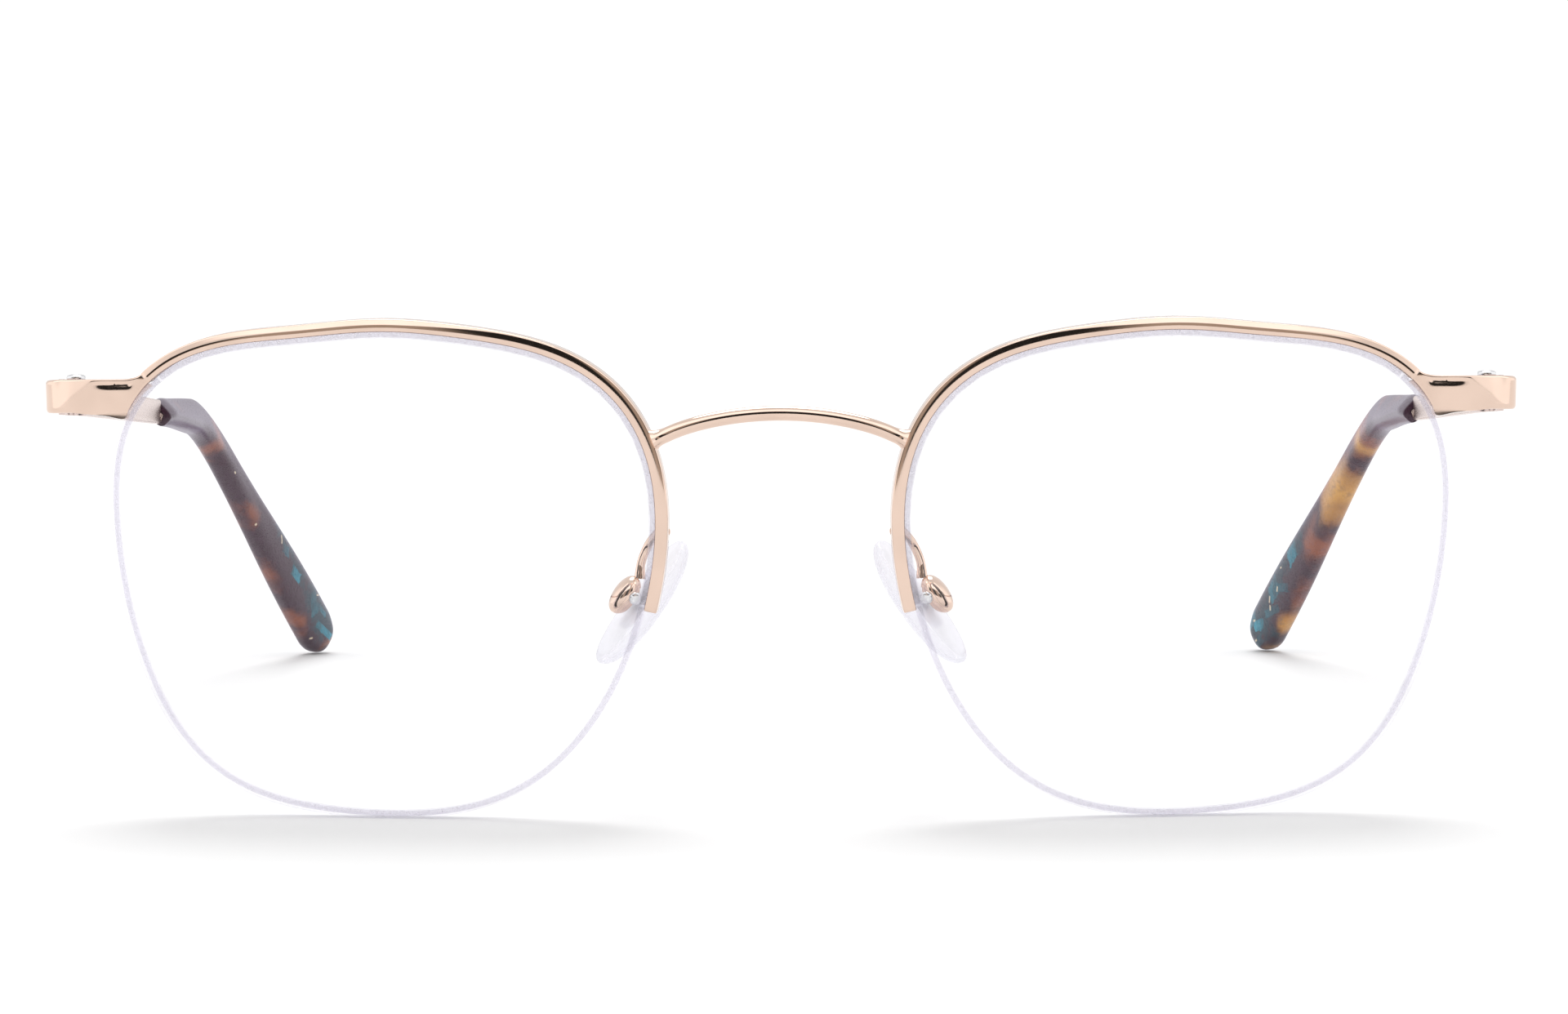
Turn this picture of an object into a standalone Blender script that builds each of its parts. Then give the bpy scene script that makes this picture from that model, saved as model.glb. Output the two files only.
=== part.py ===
"""Half rim eyeglasses: two metal half rims with a bridge, edge-grooved lenses held by a nylon cord, sculpted end
pieces, three-knuckle barrel hinges, metal temples with laminated acetate tips, and nose pads on arms.

The glasses are drawn in the wearer's frame, in millimetres: x to the wearer's left, y back along the temples,
z up from the lowest point of the lenses. One empty then tips them onto the table, so that both lens bottoms and both
temple tips touch z = 0. Run with: blender --background --python part.py
"""

import math

import bmesh
import bpy
from mathutils import Matrix, Vector

MM = 0.001

# Lens shape. The radii are the lens's polar radii from its boxing centre, every 20 degrees from the temporal side.
LENS_RADII = (25.10, 27.25, 28.30, 25.00, 22.74, 22.72, 24.42, 26.85, 26.68,
              25.05, 24.20, 24.11, 23.94, 23.10, 22.95, 24.12, 24.80, 24.50)
LENS_CENTRE_X = 37.1
LENS_CENTRE_Z = 22.8
LENS_FRONT_Y = -1.0
LENS_BASE_RADIUS = 122.0
LENS_THICKNESS = 2.1
WRAP = math.radians(6.0)
PANTOSCOPIC = math.radians(7.0)
LENS_STATIONS = 64
GROOVE_HALF = 0.32
GROOVE_DEPTH = 0.62

# Half rims, their nylon liners, and the cord in the bare part of the groove.
RIM_FROM = 40.6
RIM_TO = 187.6
RIM_INNER = 0.04
RIM_OUTER = 1.20
RIM_HALF_DEPTH = 0.95
CHANNEL_HALF = 0.31
CHANNEL_DEPTH = 0.64
LINER_HALF = 0.26
CORD_RADIUS = 0.26

# Bridge
BRIDGE_CREST_Z = 37.8
BRIDGE_CREST_Y = -1.55
BRIDGE_HALF_X = 11.35
BRIDGE_RADIUS = 0.70

# End pieces and hinges
END_TOP_Z = 41.25
END_BOTTOM_Z = 38.1
END_BOTTOM_INNER_Z = 37.75
END_OUTER_X = 69.4
END_WALL = 1.15
END_BACK_Y = 13.45
HINGE_X = 67.2
HINGE_Y = 12.5
HINGE_Z = 39.65
KNUCKLE_RADIUS = 1.0
KNUCKLE_HEIGHT = 1.1
HINGE_BORE = 0.65
HINGE_PIN = 0.60
SCREW_HEAD_RADIUS = 0.92

# Temples
ARM_X = 68.83
ARM_Y = 13.6
ARM_THICKNESS = 1.15
ARM_STRAIGHT = 8.0
ARM_TOE_IN = -0.0132
ARM_DROP = -0.0085
ARM_HEIGHT_FRONT = 3.05
ARM_HEIGHT_BACK = 2.6
TIP_START_Y = 79.6
BEND_START_Y = 103.0
BEND_RADIUS = 22.0
BEND_ANGLE = math.radians(42.0)
BEND_LEAN = math.radians(22.0)
TIP_STRAIGHT = 34.5
TIP_INSET = 0.42
CORE_HEIGHT = 1.3
CORE_THICKNESS = 0.9
CORE_GAP = 0.06

# Nose pads
PAD_PIVOT = (14.1, 9.3, 20.7)
PAD_LEAN = math.radians(35.6)
PAD_SPLAY = math.radians(17.0)
PAD_HALF_LENGTH = 7.0
PAD_HALF_WIDTH = 3.8
PAD_FACE = 0.70
PAD_THICKNESS = 2.3
BOX_FACE = 0.30
PAD_SCREW_RADIUS = 0.38

# Resting on the table: the tip about x that brings the lens bottoms and the temple tips to one level.
REST_PITCH = math.radians(4.605)
REST_SHIFT = (0.0, -72.202, 0.3592)


def clear_scene():
    for obj in list(bpy.data.objects):
        bpy.data.objects.remove(obj, do_unlink=True)


def new_collection(name, hidden=False):
    found = bpy.data.collections.new(name)
    bpy.context.scene.collection.children.link(found)
    found.hide_render = hidden
    return found


def material(name, colour, roughness, metallic, alpha=1.0):
    made = bpy.data.materials.new(name)
    made.use_nodes = True
    shader = made.node_tree.nodes["Principled BSDF"]
    shader.inputs["Base Color"].default_value = (*colour, 1.0)
    shader.inputs["Roughness"].default_value = roughness
    shader.inputs["Metallic"].default_value = metallic
    shader.inputs["Alpha"].default_value = alpha
    made.diffuse_color = (*colour, alpha)
    return made


clear_scene()
PARTS = new_collection("half_rim_eyeglasses")
CUTTERS = new_collection("cutters")

FINISHES = {
    "rose_gold": ((0.78, 0.57, 0.45), 0.12, 1.0, 1.0),
    "steel": ((0.72, 0.72, 0.73), 0.25, 1.0, 1.0),
    "lens": ((0.97, 0.98, 1.0), 0.02, 0.0, 0.25),
    "nylon": ((0.88, 0.87, 0.92), 0.4, 0.0, 0.8),
    "pad": ((0.95, 0.95, 0.98), 0.2, 0.0, 0.5),
    "insert": ((0.9, 0.9, 0.93), 0.3, 0.0, 0.7),
    "acetate": ((0.16, 0.06, 0.04), 0.18, 0.0, 1.0),
}


def empty(name, at, parent=None):
    made = bpy.data.objects.new(name, None)
    made.empty_display_size = 0.003
    PARTS.objects.link(made)
    made.parent = parent
    made.location = Vector(at) * MM
    return made


REST = empty("rest_frame", (0, 0, 0))
REST.rotation_euler = (-REST_PITCH, 0.0, 0.0)
REST.location = Vector(REST_SHIFT) * MM


class Pivot:
    """A parent empty, and the point in the wearer's frame that it stands at."""

    def __init__(self, name, at):
        self.at = Vector(at)
        self.empty = empty(name, at, REST)


FRONT = Pivot("front_frame", (0, 0, 0))


def place(obj, pivot, finish=None, cutter=False):
    (CUTTERS if cutter else PARTS).objects.link(obj)
    obj.parent = pivot.empty
    if cutter:
        obj.hide_render = True
        obj.display_type = "WIRE"
    if finish:
        obj.data.materials.append(material(obj.name, *FINISHES[finish]))
    return obj


def from_bmesh(name, bm, pivot, finish=None, cutter=False, sharp=35.0):
    bmesh.ops.recalc_face_normals(bm, faces=bm.faces)
    mesh = bpy.data.meshes.new(name)
    bmesh.ops.translate(bm, verts=bm.verts, vec=-pivot.at)
    bmesh.ops.scale(bm, verts=bm.verts, vec=(MM, MM, MM))
    bm.to_mesh(mesh)
    bm.free()
    mesh.shade_smooth()
    mesh.set_sharp_from_angle(angle=math.radians(sharp))
    return place(bpy.data.objects.new(name, mesh), pivot, finish, cutter)


def box(name, side, low, high, pivot, finish=None, cutter=False, frame=None):
    """A box between two corners, drawn on the wearer's left and mirrored for side -1."""
    bm = bmesh.new()
    bmesh.ops.create_cube(bm, size=1.0)
    low, high = Vector(low), Vector(high)
    bmesh.ops.scale(bm, verts=bm.verts, vec=high - low)
    bmesh.ops.translate(bm, verts=bm.verts, vec=(low + high) / 2)
    settle(bm, side, frame)
    return from_bmesh(name, bm, pivot, finish, cutter)


def rod(name, side, centre, radius, height, pivot, finish=None, cutter=False, frame=None, segments=20):
    bm = bmesh.new()
    bmesh.ops.create_cone(bm, cap_ends=True, segments=segments, radius1=radius, radius2=radius, depth=height)
    bmesh.ops.translate(bm, verts=bm.verts, vec=centre)
    settle(bm, side, frame)
    return from_bmesh(name, bm, pivot, finish, cutter)


def settle(bm, side, frame=None):
    if frame is not None:
        bmesh.ops.transform(bm, matrix=frame, verts=bm.verts)
    if side < 0:
        bmesh.ops.scale(bm, verts=bm.verts, vec=(-1, 1, 1))


def boolean(obj, other, operation):
    made = obj.modifiers.new(operation.lower() + "_" + other.name, "BOOLEAN")
    made.operation = operation
    made.solver = "EXACT"
    made.object = other
    return made


def bevel(obj, width, segments=1, angle=30.0):
    made = obj.modifiers.new("rounded_edges", "BEVEL")
    made.width = width * MM
    made.segments = segments
    made.limit_method = "ANGLE"
    made.angle_limit = math.radians(angle)
    return made


def loft(rings, caps=(True, True), loop=False):
    """A bmesh skin through rings of points that all have the same count."""
    bm = bmesh.new()
    rows = [[bm.verts.new(p) for p in ring] for ring in rings]
    pairs = list(zip(rows, rows[1:])) + ([(rows[-1], rows[0])] if loop else [])
    count = len(rows[0])
    for a, b in pairs:
        for i in range(count):
            j = (i + 1) % count
            bm.faces.new((a[i], a[j], b[j], b[i]))
    if caps[0]:
        bm.faces.new(rows[0])
    if caps[1]:
        bm.faces.new(rows[-1])
    return bm


def tube(name, side, points, radius, pivot, finish, resolution=2):
    """A wire: a poly curve with a round bevel and filled caps."""
    curve = bpy.data.curves.new(name, "CURVE")
    curve.dimensions = "3D"
    curve.bevel_depth = radius * MM
    curve.bevel_resolution = resolution
    curve.use_fill_caps = True
    spline = curve.splines.new("POLY")
    spline.points.add(len(points) - 1)
    for slot, point in zip(spline.points, points):
        local = (Vector((point[0] * side, point[1], point[2])) - pivot.at) * MM
        slot.co = (*local, 1.0)
    return place(bpy.data.objects.new(name, curve), pivot, finish)


def through(points, per_span):
    """Points along a smooth Catmull-Rom curve through the given ones."""
    points = [Vector(p) for p in points]
    ends = [2 * points[0] - points[1]] + points + [2 * points[-1] - points[-2]]
    made = []
    for i in range(1, len(ends) - 2):
        a, b, c, d = ends[i - 1:i + 3]
        for step in range(per_span):
            t = step / per_span
            made.append(0.5 * (2 * b + (c - a) * t + (2 * a - 5 * b + 4 * c - d) * t * t
                               + (3 * b - a - 3 * c + d) * t ** 3))
    return made + [points[-1]]


def rounded(half_a, half_b, radius, per_corner=3):
    """A rounded rectangle of half sizes a and b, as (a, b) pairs. Its sides stay flat."""
    radius = min(radius, half_a, half_b)
    made = []
    for corner, (sa, sb) in enumerate(((1, 1), (-1, 1), (-1, -1), (1, -1))):
        for k in range(per_corner):
            angle = math.radians(90 * corner + 90 * k / (per_corner - 1))
            made.append((sa * (half_a - radius) + radius * math.cos(angle),
                         sb * (half_b - radius) + radius * math.sin(angle)))
    return made


# ---- lens shape ----

def lens_radius(angle):
    """Smooth interpolation of LENS_RADII, by the harmonics that the samples can hold."""
    count = len(LENS_RADII)
    total = 0.0
    for i, radius in enumerate(LENS_RADII):
        d = angle - 2 * math.pi * i / count
        kernel = 1 + 2 * sum(math.cos(k * d) for k in range(1, count // 2)) + math.cos(count / 2 * d)
        total += radius * kernel / count
    return total


def edge_point(angle, out=0.0):
    """(u, v) on the lens outline, moved outwards by a distance, and its outward normal."""
    step = 1e-4
    r = lens_radius(angle)
    u, v = r * math.cos(angle), r * math.sin(angle)
    ra, rb = lens_radius(angle - step), lens_radius(angle + step)
    du = rb * math.cos(angle + step) - ra * math.cos(angle - step)
    dv = rb * math.sin(angle + step) - ra * math.sin(angle - step)
    size = math.hypot(du, dv)
    nu, nv = dv / size, -du / size
    return u + nu * out, v + nv * out, nu, nv


def front_y(u, v):
    """Depth of the lens's front surface: a base curve, wrapped and tilted."""
    return LENS_FRONT_Y + math.tan(WRAP) * u - math.tan(PANTOSCOPIC) * v + (u * u + v * v) / (2 * LENS_BASE_RADIUS)


LENS_AXIS = Vector((-math.tan(WRAP), 1.0, math.tan(PANTOSCOPIC))).normalized()


def edge_frame(angle):
    """The front edge of the lens at an angle, and the outward direction square to the lens's axis."""
    u, v, nu, nv = edge_point(angle)
    at = Vector((LENS_CENTRE_X + u, front_y(u, v), LENS_CENTRE_Z + v))
    out = Vector((nu, 0.0, nv))
    out = (out - LENS_AXIS * out.dot(LENS_AXIS)).normalized()
    return at, out


def edge_section(angle, profile):
    """Profile points (w outwards, d back from the lens's middle) placed at an angle of the outline."""
    at, out = edge_frame(angle)
    middle = at + LENS_AXIS * (LENS_THICKNESS / 2)
    return [middle + out * w + LENS_AXIS * d for w, d in profile]


def stations(start, stop):
    """Angles in radians: the ends, and the lens's own stations between them."""
    step = 360.0 / LENS_STATIONS
    first = math.floor(start / step) + 1
    inner = []
    k = first
    while k * step < stop - 0.5:
        if k * step > start + 0.5:
            inner.append(k * step)
        k += 1
    return [math.radians(a) for a in [start] + inner + [stop]]


def make_lens(name, side):
    half = LENS_THICKNESS / 2
    profile = ((0, -half), (0, -GROOVE_HALF), (-GROOVE_DEPTH, -GROOVE_HALF), (-GROOVE_DEPTH, GROOVE_HALF),
               (0, GROOVE_HALF), (0, half))
    angles = [2 * math.pi * k / LENS_STATIONS for k in range(LENS_STATIONS)]
    columns = [edge_section(a, profile) for a in angles]
    rings = [[column[i] for column in columns] for i in range(len(profile))]
    front, back = [], []
    for share in (0.6,):
        row = []
        for a in angles:
            u, v, _, _ = edge_point(a)
            u, v = u * share, v * share
            row.append(Vector((LENS_CENTRE_X + u, front_y(u, v), LENS_CENTRE_Z + v)))
        front.append(row)
        back.insert(0, [p + LENS_AXIS * LENS_THICKNESS for p in row])
    bm = loft(front + rings + back, caps=(False, False))
    bm.verts.ensure_lookup_table()
    count = LENS_STATIONS
    total = len(bm.verts)
    middle = Vector((LENS_CENTRE_X, front_y(0, 0), LENS_CENTRE_Z))
    for centre, base in ((middle, 0), (middle + LENS_AXIS * LENS_THICKNESS, total - count)):
        hub = bm.verts.new(centre)
        bm.verts.ensure_lookup_table()
        for i in range(count):
            bm.faces.new((hub, bm.verts[base + i], bm.verts[base + (i + 1) % count]))
    settle(bm, side)
    return from_bmesh(name, bm, FRONT, "lens", sharp=30.0)


def make_rim(name, side):
    d = RIM_HALF_DEPTH
    profile = ((RIM_INNER, -d + 0.16), (RIM_INNER + 0.18, -d), (RIM_OUTER - 0.12, -d), (RIM_OUTER, -d + 0.12),
               (RIM_OUTER, d - 0.12), (RIM_OUTER - 0.12, d), (RIM_INNER + 0.06, d), (RIM_INNER, d - 0.06),
               (RIM_INNER, CHANNEL_HALF), (CHANNEL_DEPTH, CHANNEL_HALF),
               (CHANNEL_DEPTH, -CHANNEL_HALF), (RIM_INNER, -CHANNEL_HALF))
    bm = loft([edge_section(a, profile) for a in stations(RIM_FROM, RIM_TO)])
    settle(bm, side)
    return from_bmesh(name, bm, FRONT, "rose_gold", sharp=28.0)


def make_liner(name, side):
    profile = ((-0.50, -LINER_HALF), (0.56, -LINER_HALF), (0.56, LINER_HALF), (-0.50, LINER_HALF))
    bm = loft([edge_section(a, profile) for a in stations(RIM_FROM + 0.8, RIM_TO - 0.8)])
    settle(bm, side)
    return from_bmesh(name, bm, FRONT, "nylon", sharp=28.0)


def make_cord(name, side):
    angles = stations(RIM_TO - 0.1, 360.0 + RIM_FROM + 0.1)
    points = [edge_section(a, ((-0.31, 0.0),))[0] for a in angles]
    return tube(name, side, points, CORD_RADIUS, FRONT, "nylon")


# ---- bridge ----

def bridge_drop(x):
    return 0.0160 * x * x + 1.5e-8 * abs(x) ** 7


def make_bridge():
    """A round bar, arched up and forwards, whose ends lie flat against the rims' nasal sides."""
    foot = edge_section(math.radians(153.6), ((RIM_OUTER + 0.05, -0.05),))[0]
    _, out = edge_frame(math.radians(153.6))
    xs = [-10.2, -8.6, -6.6, -4.4, -2.2, 0.0, 2.2, 4.4, 6.6, 8.6, 10.2]
    centres = []
    for x in xs:
        share = abs(x) / BRIDGE_HALF_X
        y = BRIDGE_CREST_Y + (foot.y - BRIDGE_CREST_Y) * share ** 2.6
        centres.append(Vector((x, y, BRIDGE_CREST_Z - bridge_drop(x))))
    ends = [Vector((-foot.x, foot.y, foot.z)), foot]
    normals = [Vector((out.x, -out.y, -out.z)), -out]
    points = [ends[0]] + centres + [ends[1]]
    rings = []
    for i, point in enumerate(points):
        if i == 0:
            along = normals[0]
        elif i == len(points) - 1:
            along = normals[1]
        else:
            along = (points[i + 1] - points[i - 1]).normalized()
        fore = Vector((0, 1, 0))
        fore = (fore - along * fore.dot(along)).normalized()
        up = along.cross(fore)
        if up.z < 0:
            up.negate()
        grow = 1.18 if i in (0, len(points) - 1) else 1.0
        ring = []
        for k in range(12):
            angle = 2 * math.pi * k / 12
            ring.append(point + up * (BRIDGE_RADIUS * grow * math.sin(angle))
                        + fore * (BRIDGE_RADIUS * grow * math.cos(angle)))
        rings.append(ring)
    return from_bmesh("bridge", loft(rings), FRONT, "rose_gold", sharp=40.0)


# ---- end pieces ----

def end_plan(x):
    """Depth of the end piece's front face at x, before it turns back."""
    inner = LENS_CENTRE_X + 22.0
    start = front_y(22.0, 17.0) + LENS_THICKNESS / 2 - RIM_HALF_DEPTH
    return start + 0.24 * (x - inner) + 0.008 * (x - inner) ** 2


def make_end_piece(name, side):
    """From the rim's temporal end out along the lens's edge, round the corner and back to the hinge."""
    lens_side = [edge_point(math.radians(a), 0.07)[:2] for a in (RIM_FROM - 1.2, 38.0, 35.6, 33.2, 31.2)]
    bottom = [(LENS_CENTRE_X + u, LENS_CENTRE_Z + v) for u, v in lens_side]
    bottom += [(63.2, END_BOTTOM_INNER_Z + 0.05), (65.0, END_BOTTOM_INNER_Z + 0.2), (66.6, END_BOTTOM_Z)]
    u, v = edge_point(math.radians(RIM_FROM - 1.2), RIM_OUTER)[:2]
    top = [(LENS_CENTRE_X + u, LENS_CENTRE_Z + v), (60.3, END_TOP_Z + 0.18), (61.2, END_TOP_Z + 0.02), (62.2, END_TOP_Z),
           (63.2, END_TOP_Z), (64.2, END_TOP_Z), (65.4, END_TOP_Z), (66.6, END_TOP_Z)]
    rings = []
    for i, ((xt, zt), (xb, zb)) in enumerate(zip(top, bottom)):
        wall = 1.9 - 0.6 * i / 7
        yt, yb = end_plan(xt), end_plan(xb)
        rings.append([Vector((xt, yt, zt)), Vector((xb, yb, zb)),
                      Vector((xb - 0.25 * (i > 3) * (i - 3) / 4, yb + wall, zb)),
                      Vector((xt - 0.25 * (i > 3) * (i - 3) / 4, yt + wall, zt))])
    corner_x, corner_y = 66.6, end_plan(66.6)
    for share in (0.25, 0.5, 0.75, 1.0):
        angle = share * math.radians(72.0)
        turn = math.radians(18.0) + angle
        ox = corner_x + (END_OUTER_X - corner_x) * math.sin(share * math.pi / 2)
        oy = corner_y + 0.4 * share + 2.6 * (1 - math.cos(share * math.pi / 2))
        nx, ny = -math.sin(turn), math.cos(turn)
        wall = 1.3 - (1.3 - END_WALL) * share
        ix, iy = ox + nx * wall, oy + ny * wall
        rings.append([Vector((ox, oy, END_TOP_Z)), Vector((ox, oy, END_BOTTOM_Z)),
                      Vector((ix, iy, END_BOTTOM_Z)), Vector((ix, iy, END_TOP_Z))])
    for y in (END_BACK_Y,):
        rings.append([Vector((END_OUTER_X, y, END_TOP_Z)), Vector((END_OUTER_X, y, END_BOTTOM_Z)),
                      Vector((END_OUTER_X - END_WALL, y, END_BOTTOM_Z)), Vector((END_OUTER_X - END_WALL, y, END_TOP_Z))])
    bm = loft(rings)
    settle(bm, side)
    made = from_bmesh(name, bm, FRONT, "rose_gold", sharp=40.0)
    bevel(made, 0.16, 2, 50.0)
    return made


# ---- hinges ----

def knuckle_levels():
    pitch = KNUCKLE_HEIGHT + 0.05
    return HINGE_Z + pitch, HINGE_Z, HINGE_Z - pitch


def make_hinge_front(name, side):
    upper, _, lower = knuckle_levels()
    made = box(name, side, (HINGE_X + 0.42, 7.9, HINGE_Z - 1.68), (HINGE_X + 1.0, HINGE_Y - 1.1, HINGE_Z + 1.68), FRONT,
               "rose_gold")
    for label, level in (("upper", upper), ("lower", lower)):
        web = box(f"{name}_{label}_web", side, (HINGE_X + 0.1, HINGE_Y - 1.5, level - 0.5),
                  (HINGE_X + 0.96, HINGE_Y, level + 0.5), FRONT, cutter=True)
        knuckle = rod(f"{name}_{label}_knuckle", side, (HINGE_X, HINGE_Y, level), KNUCKLE_RADIUS, KNUCKLE_HEIGHT, FRONT,
                      cutter=True)
        boolean(made, web, "UNION")
        boolean(made, knuckle, "UNION")
    bore = rod(f"{name}_bore", side, (HINGE_X, HINGE_Y, HINGE_Z), HINGE_BORE, 6.0, FRONT, cutter=True)
    boolean(made, bore, "DIFFERENCE")
    return made


def make_hinge_temple(name, side, pivot):
    made = box(name, side, (HINGE_X + 0.42, HINGE_Y + 1.15, HINGE_Z - 1.4), (HINGE_X + 1.0, HINGE_Y + 7.4, HINGE_Z + 1.4),
               pivot, "rose_gold")
    web = box(f"{name}_web", side, (HINGE_X + 0.1, HINGE_Y, HINGE_Z - 0.5), (HINGE_X + 0.96, HINGE_Y + 1.5, HINGE_Z + 0.5),
              pivot, cutter=True)
    knuckle = rod(f"{name}_knuckle", side, (HINGE_X, HINGE_Y, HINGE_Z), KNUCKLE_RADIUS, KNUCKLE_HEIGHT, pivot, cutter=True)
    bore = rod(f"{name}_bore", side, (HINGE_X, HINGE_Y, HINGE_Z), HINGE_BORE, 6.0, pivot, cutter=True)
    boolean(made, web, "UNION")
    boolean(made, knuckle, "UNION")
    boolean(made, bore, "DIFFERENCE")
    return made


def turned(name, side, profile, at, pivot, finish, frame=None, steps=20):
    """A turned piece: (radius, height) pairs from the bottom to the top, spun about its own z axis."""
    mesh = bpy.data.meshes.new(name)
    points = [(r * MM, 0.0, h * MM) for r, h in reversed(profile)]
    mesh.from_pydata(points, [(i, i + 1) for i in range(len(points) - 1)], [])
    made = bpy.data.objects.new(name, mesh)
    place(made, pivot, finish)
    axis = Matrix.Identity(4) if frame is None else frame.copy()
    if side < 0:
        axis = Matrix.Diagonal((-1, 1, 1, 1)) @ axis @ Matrix.Diagonal((-1, 1, 1, 1))
    axis.translation = Vector((at[0] * side, at[1], at[2])) - pivot.at
    axis.translation *= MM
    made.matrix_local = axis
    spin = made.modifiers.new("turn", "SCREW")
    spin.axis = "Z"
    spin.steps = spin.render_steps = steps
    spin.use_merge_vertices = True
    spin.merge_threshold = 1e-6
    spin.use_smooth_shade = True
    return made


def make_hinge_screw(name, side):
    top = HINGE_Z + KNUCKLE_HEIGHT * 1.5 + 0.05 + 0.03
    low = -2.0
    rise = top - HINGE_Z
    profile = ((0.0, low), (HINGE_PIN - 0.1, low), (HINGE_PIN, low + 0.1), (HINGE_PIN, rise), (SCREW_HEAD_RADIUS, rise),
               (SCREW_HEAD_RADIUS, rise + 0.30), (SCREW_HEAD_RADIUS - 0.18, rise + 0.48), (0.0, rise + 0.55))
    made = turned(name, side, profile, (HINGE_X, HINGE_Y, HINGE_Z), FRONT, "steel")
    slot = box(f"{name}_slot", side, (HINGE_X - 2.0, HINGE_Y - 0.13, top + 0.30), (HINGE_X + 2.0, HINGE_Y + 0.13, top + 1.0),
               FRONT, cutter=True)
    boolean(made, slot, "DIFFERENCE")
    return made


# ---- temples ----

def arm_point(y):
    """The metal arm's centre line: square to the hinge at first, then toed in and dropping a little."""
    past = max(0.0, y - ARM_Y - ARM_STRAIGHT)
    return Vector((ARM_X + ARM_TOE_IN * past, y, HINGE_Z + ARM_DROP * past))


def tip_frame(s):
    """Centre, tangent, outward and upward directions of the acetate tip, s mm along it from its front face."""
    straight = BEND_START_Y - TIP_START_Y
    ahead = Vector((ARM_TOE_IN, 1.0, ARM_DROP)).normalized()
    start = arm_point(TIP_START_Y) + Vector((-TIP_INSET, 0.0, 0.0))
    side = Vector((math.cos(BEND_LEAN), 0.0, -math.sin(BEND_LEAN)))
    side = (side - ahead * side.dot(ahead)).normalized()
    down = ahead.cross(side)
    if down.z > 0:
        down.negate()
    arc = BEND_RADIUS * BEND_ANGLE
    if s <= straight:
        return start + ahead * s, ahead, side, -down
    corner = start + ahead * straight
    turn = min((s - straight) / BEND_RADIUS, BEND_ANGLE)
    centre = corner + down * BEND_RADIUS
    radial = -down * math.cos(turn) + ahead * math.sin(turn)
    tangent = ahead * math.cos(turn) + down * math.sin(turn)
    point = centre + radial * BEND_RADIUS
    if s > straight + arc:
        point = point + tangent * (s - straight - arc)
    return point, tangent, side, radial


def ease(a, b, x):
    t = min(1.0, max(0.0, (x - a) / (b - a)))
    return t * t * (3 - 2 * t)


TIP_LENGTH = BEND_START_Y - TIP_START_Y + BEND_RADIUS * BEND_ANGLE + TIP_STRAIGHT


def tip_size(s):
    """Height, thickness and twist of the tip: a slim sleeve that widens and turns into a paddle."""
    height = 3.0 + 0.9 * ease(0, 30, s) + 1.7 * ease(38, 68, s)
    thick = 2.35 + 0.45 * ease(0, 30, s) + 0.2 * ease(44, 66, s)
    # The lean of the bend is unwound along the straight part, so the sleeve starts upright on the arm.
    twist = -BEND_LEAN * (1 - ease(4, 26, s)) + math.radians(38.0) * ease(24, 62, s)
    return height, thick, twist


def tip_ring(s, height, thick, radius, offset=0.0, per_corner=3):
    centre, tangent, side, up = tip_frame(s)
    _, _, twist = tip_size(s)
    # A positive twist turns the inner face towards the front.
    a = side * math.cos(twist) + up * math.sin(twist)
    b = tangent.cross(a)
    if b.dot(up) < 0:
        b.negate()
    centre = centre + a * offset
    return [centre + a * p + b * q for p, q in rounded(thick / 2, height / 2, radius, per_corner)]


def core_offset(s):
    return TIP_INSET * (1 - ease(2, 22, s))


CORE_END = TIP_LENGTH - 9.0


def core_stations(count=15):
    """Where the core wire and the hole that it fills have their shared cross sections."""
    return [CORE_END * k / count for k in range(count + 1)]


def make_arm(name, side, pivot):
    rings = []
    across = Vector((1.0, -ARM_TOE_IN, 0.0)).normalized()
    for y, height in ((ARM_Y, ARM_HEIGHT_FRONT), (ARM_Y + ARM_STRAIGHT, ARM_HEIGHT_FRONT),
                      (TIP_START_Y - 0.12, ARM_HEIGHT_BACK)):
        out = Vector((1, 0, 0)) if y <= ARM_Y + ARM_STRAIGHT else across
        centre = arm_point(y)
        rings.append([centre + out * p + Vector((0, 0, 1)) * q
                      for p, q in rounded(ARM_THICKNESS / 2, height / 2, 0.22)])
    for s in [-0.06] + core_stations()[1:]:
        rings.append(tip_ring(s, CORE_HEIGHT, CORE_THICKNESS, 0.3, core_offset(s)))
    bm = loft(rings)
    settle(bm, side)
    return from_bmesh(name, bm, pivot, "rose_gold", sharp=28.0)


def make_tip(name, side, pivot):
    outer = []
    count = 18
    for k in range(count + 1):
        s = TIP_LENGTH * (k / count) ** 0.92
        height, thick, _ = tip_size(s)
        left = TIP_LENGTH - s
        dome = 3.0
        scale = 1.0 if left > dome else math.sqrt(max(0.0, 1 - ((dome - left) / dome) ** 2)) * 0.94 + 0.06
        if k == count:
            continue
        outer.append(tip_ring(s, height * scale, thick * (0.35 + 0.65 * scale), 1.1 * scale))
    for left, scale in ((1.4, 0.82), (0.5, 0.55), (0.0, 0.22)):
        s = TIP_LENGTH - left
        height, thick, _ = tip_size(s)
        outer.append(tip_ring(s, height * scale, thick * (0.35 + 0.65 * scale), 1.1 * scale))
    hole = []
    for s in core_stations() + [CORE_END + 0.4]:
        hole.append(tip_ring(s, CORE_HEIGHT + 2 * CORE_GAP, CORE_THICKNESS + 2 * CORE_GAP, 0.34, core_offset(s)))
    bm = loft(list(reversed(hole)) + outer)
    settle(bm, side)
    return from_bmesh(name, bm, pivot, "acetate", sharp=50.0)


# ---- nose pads ----

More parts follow.
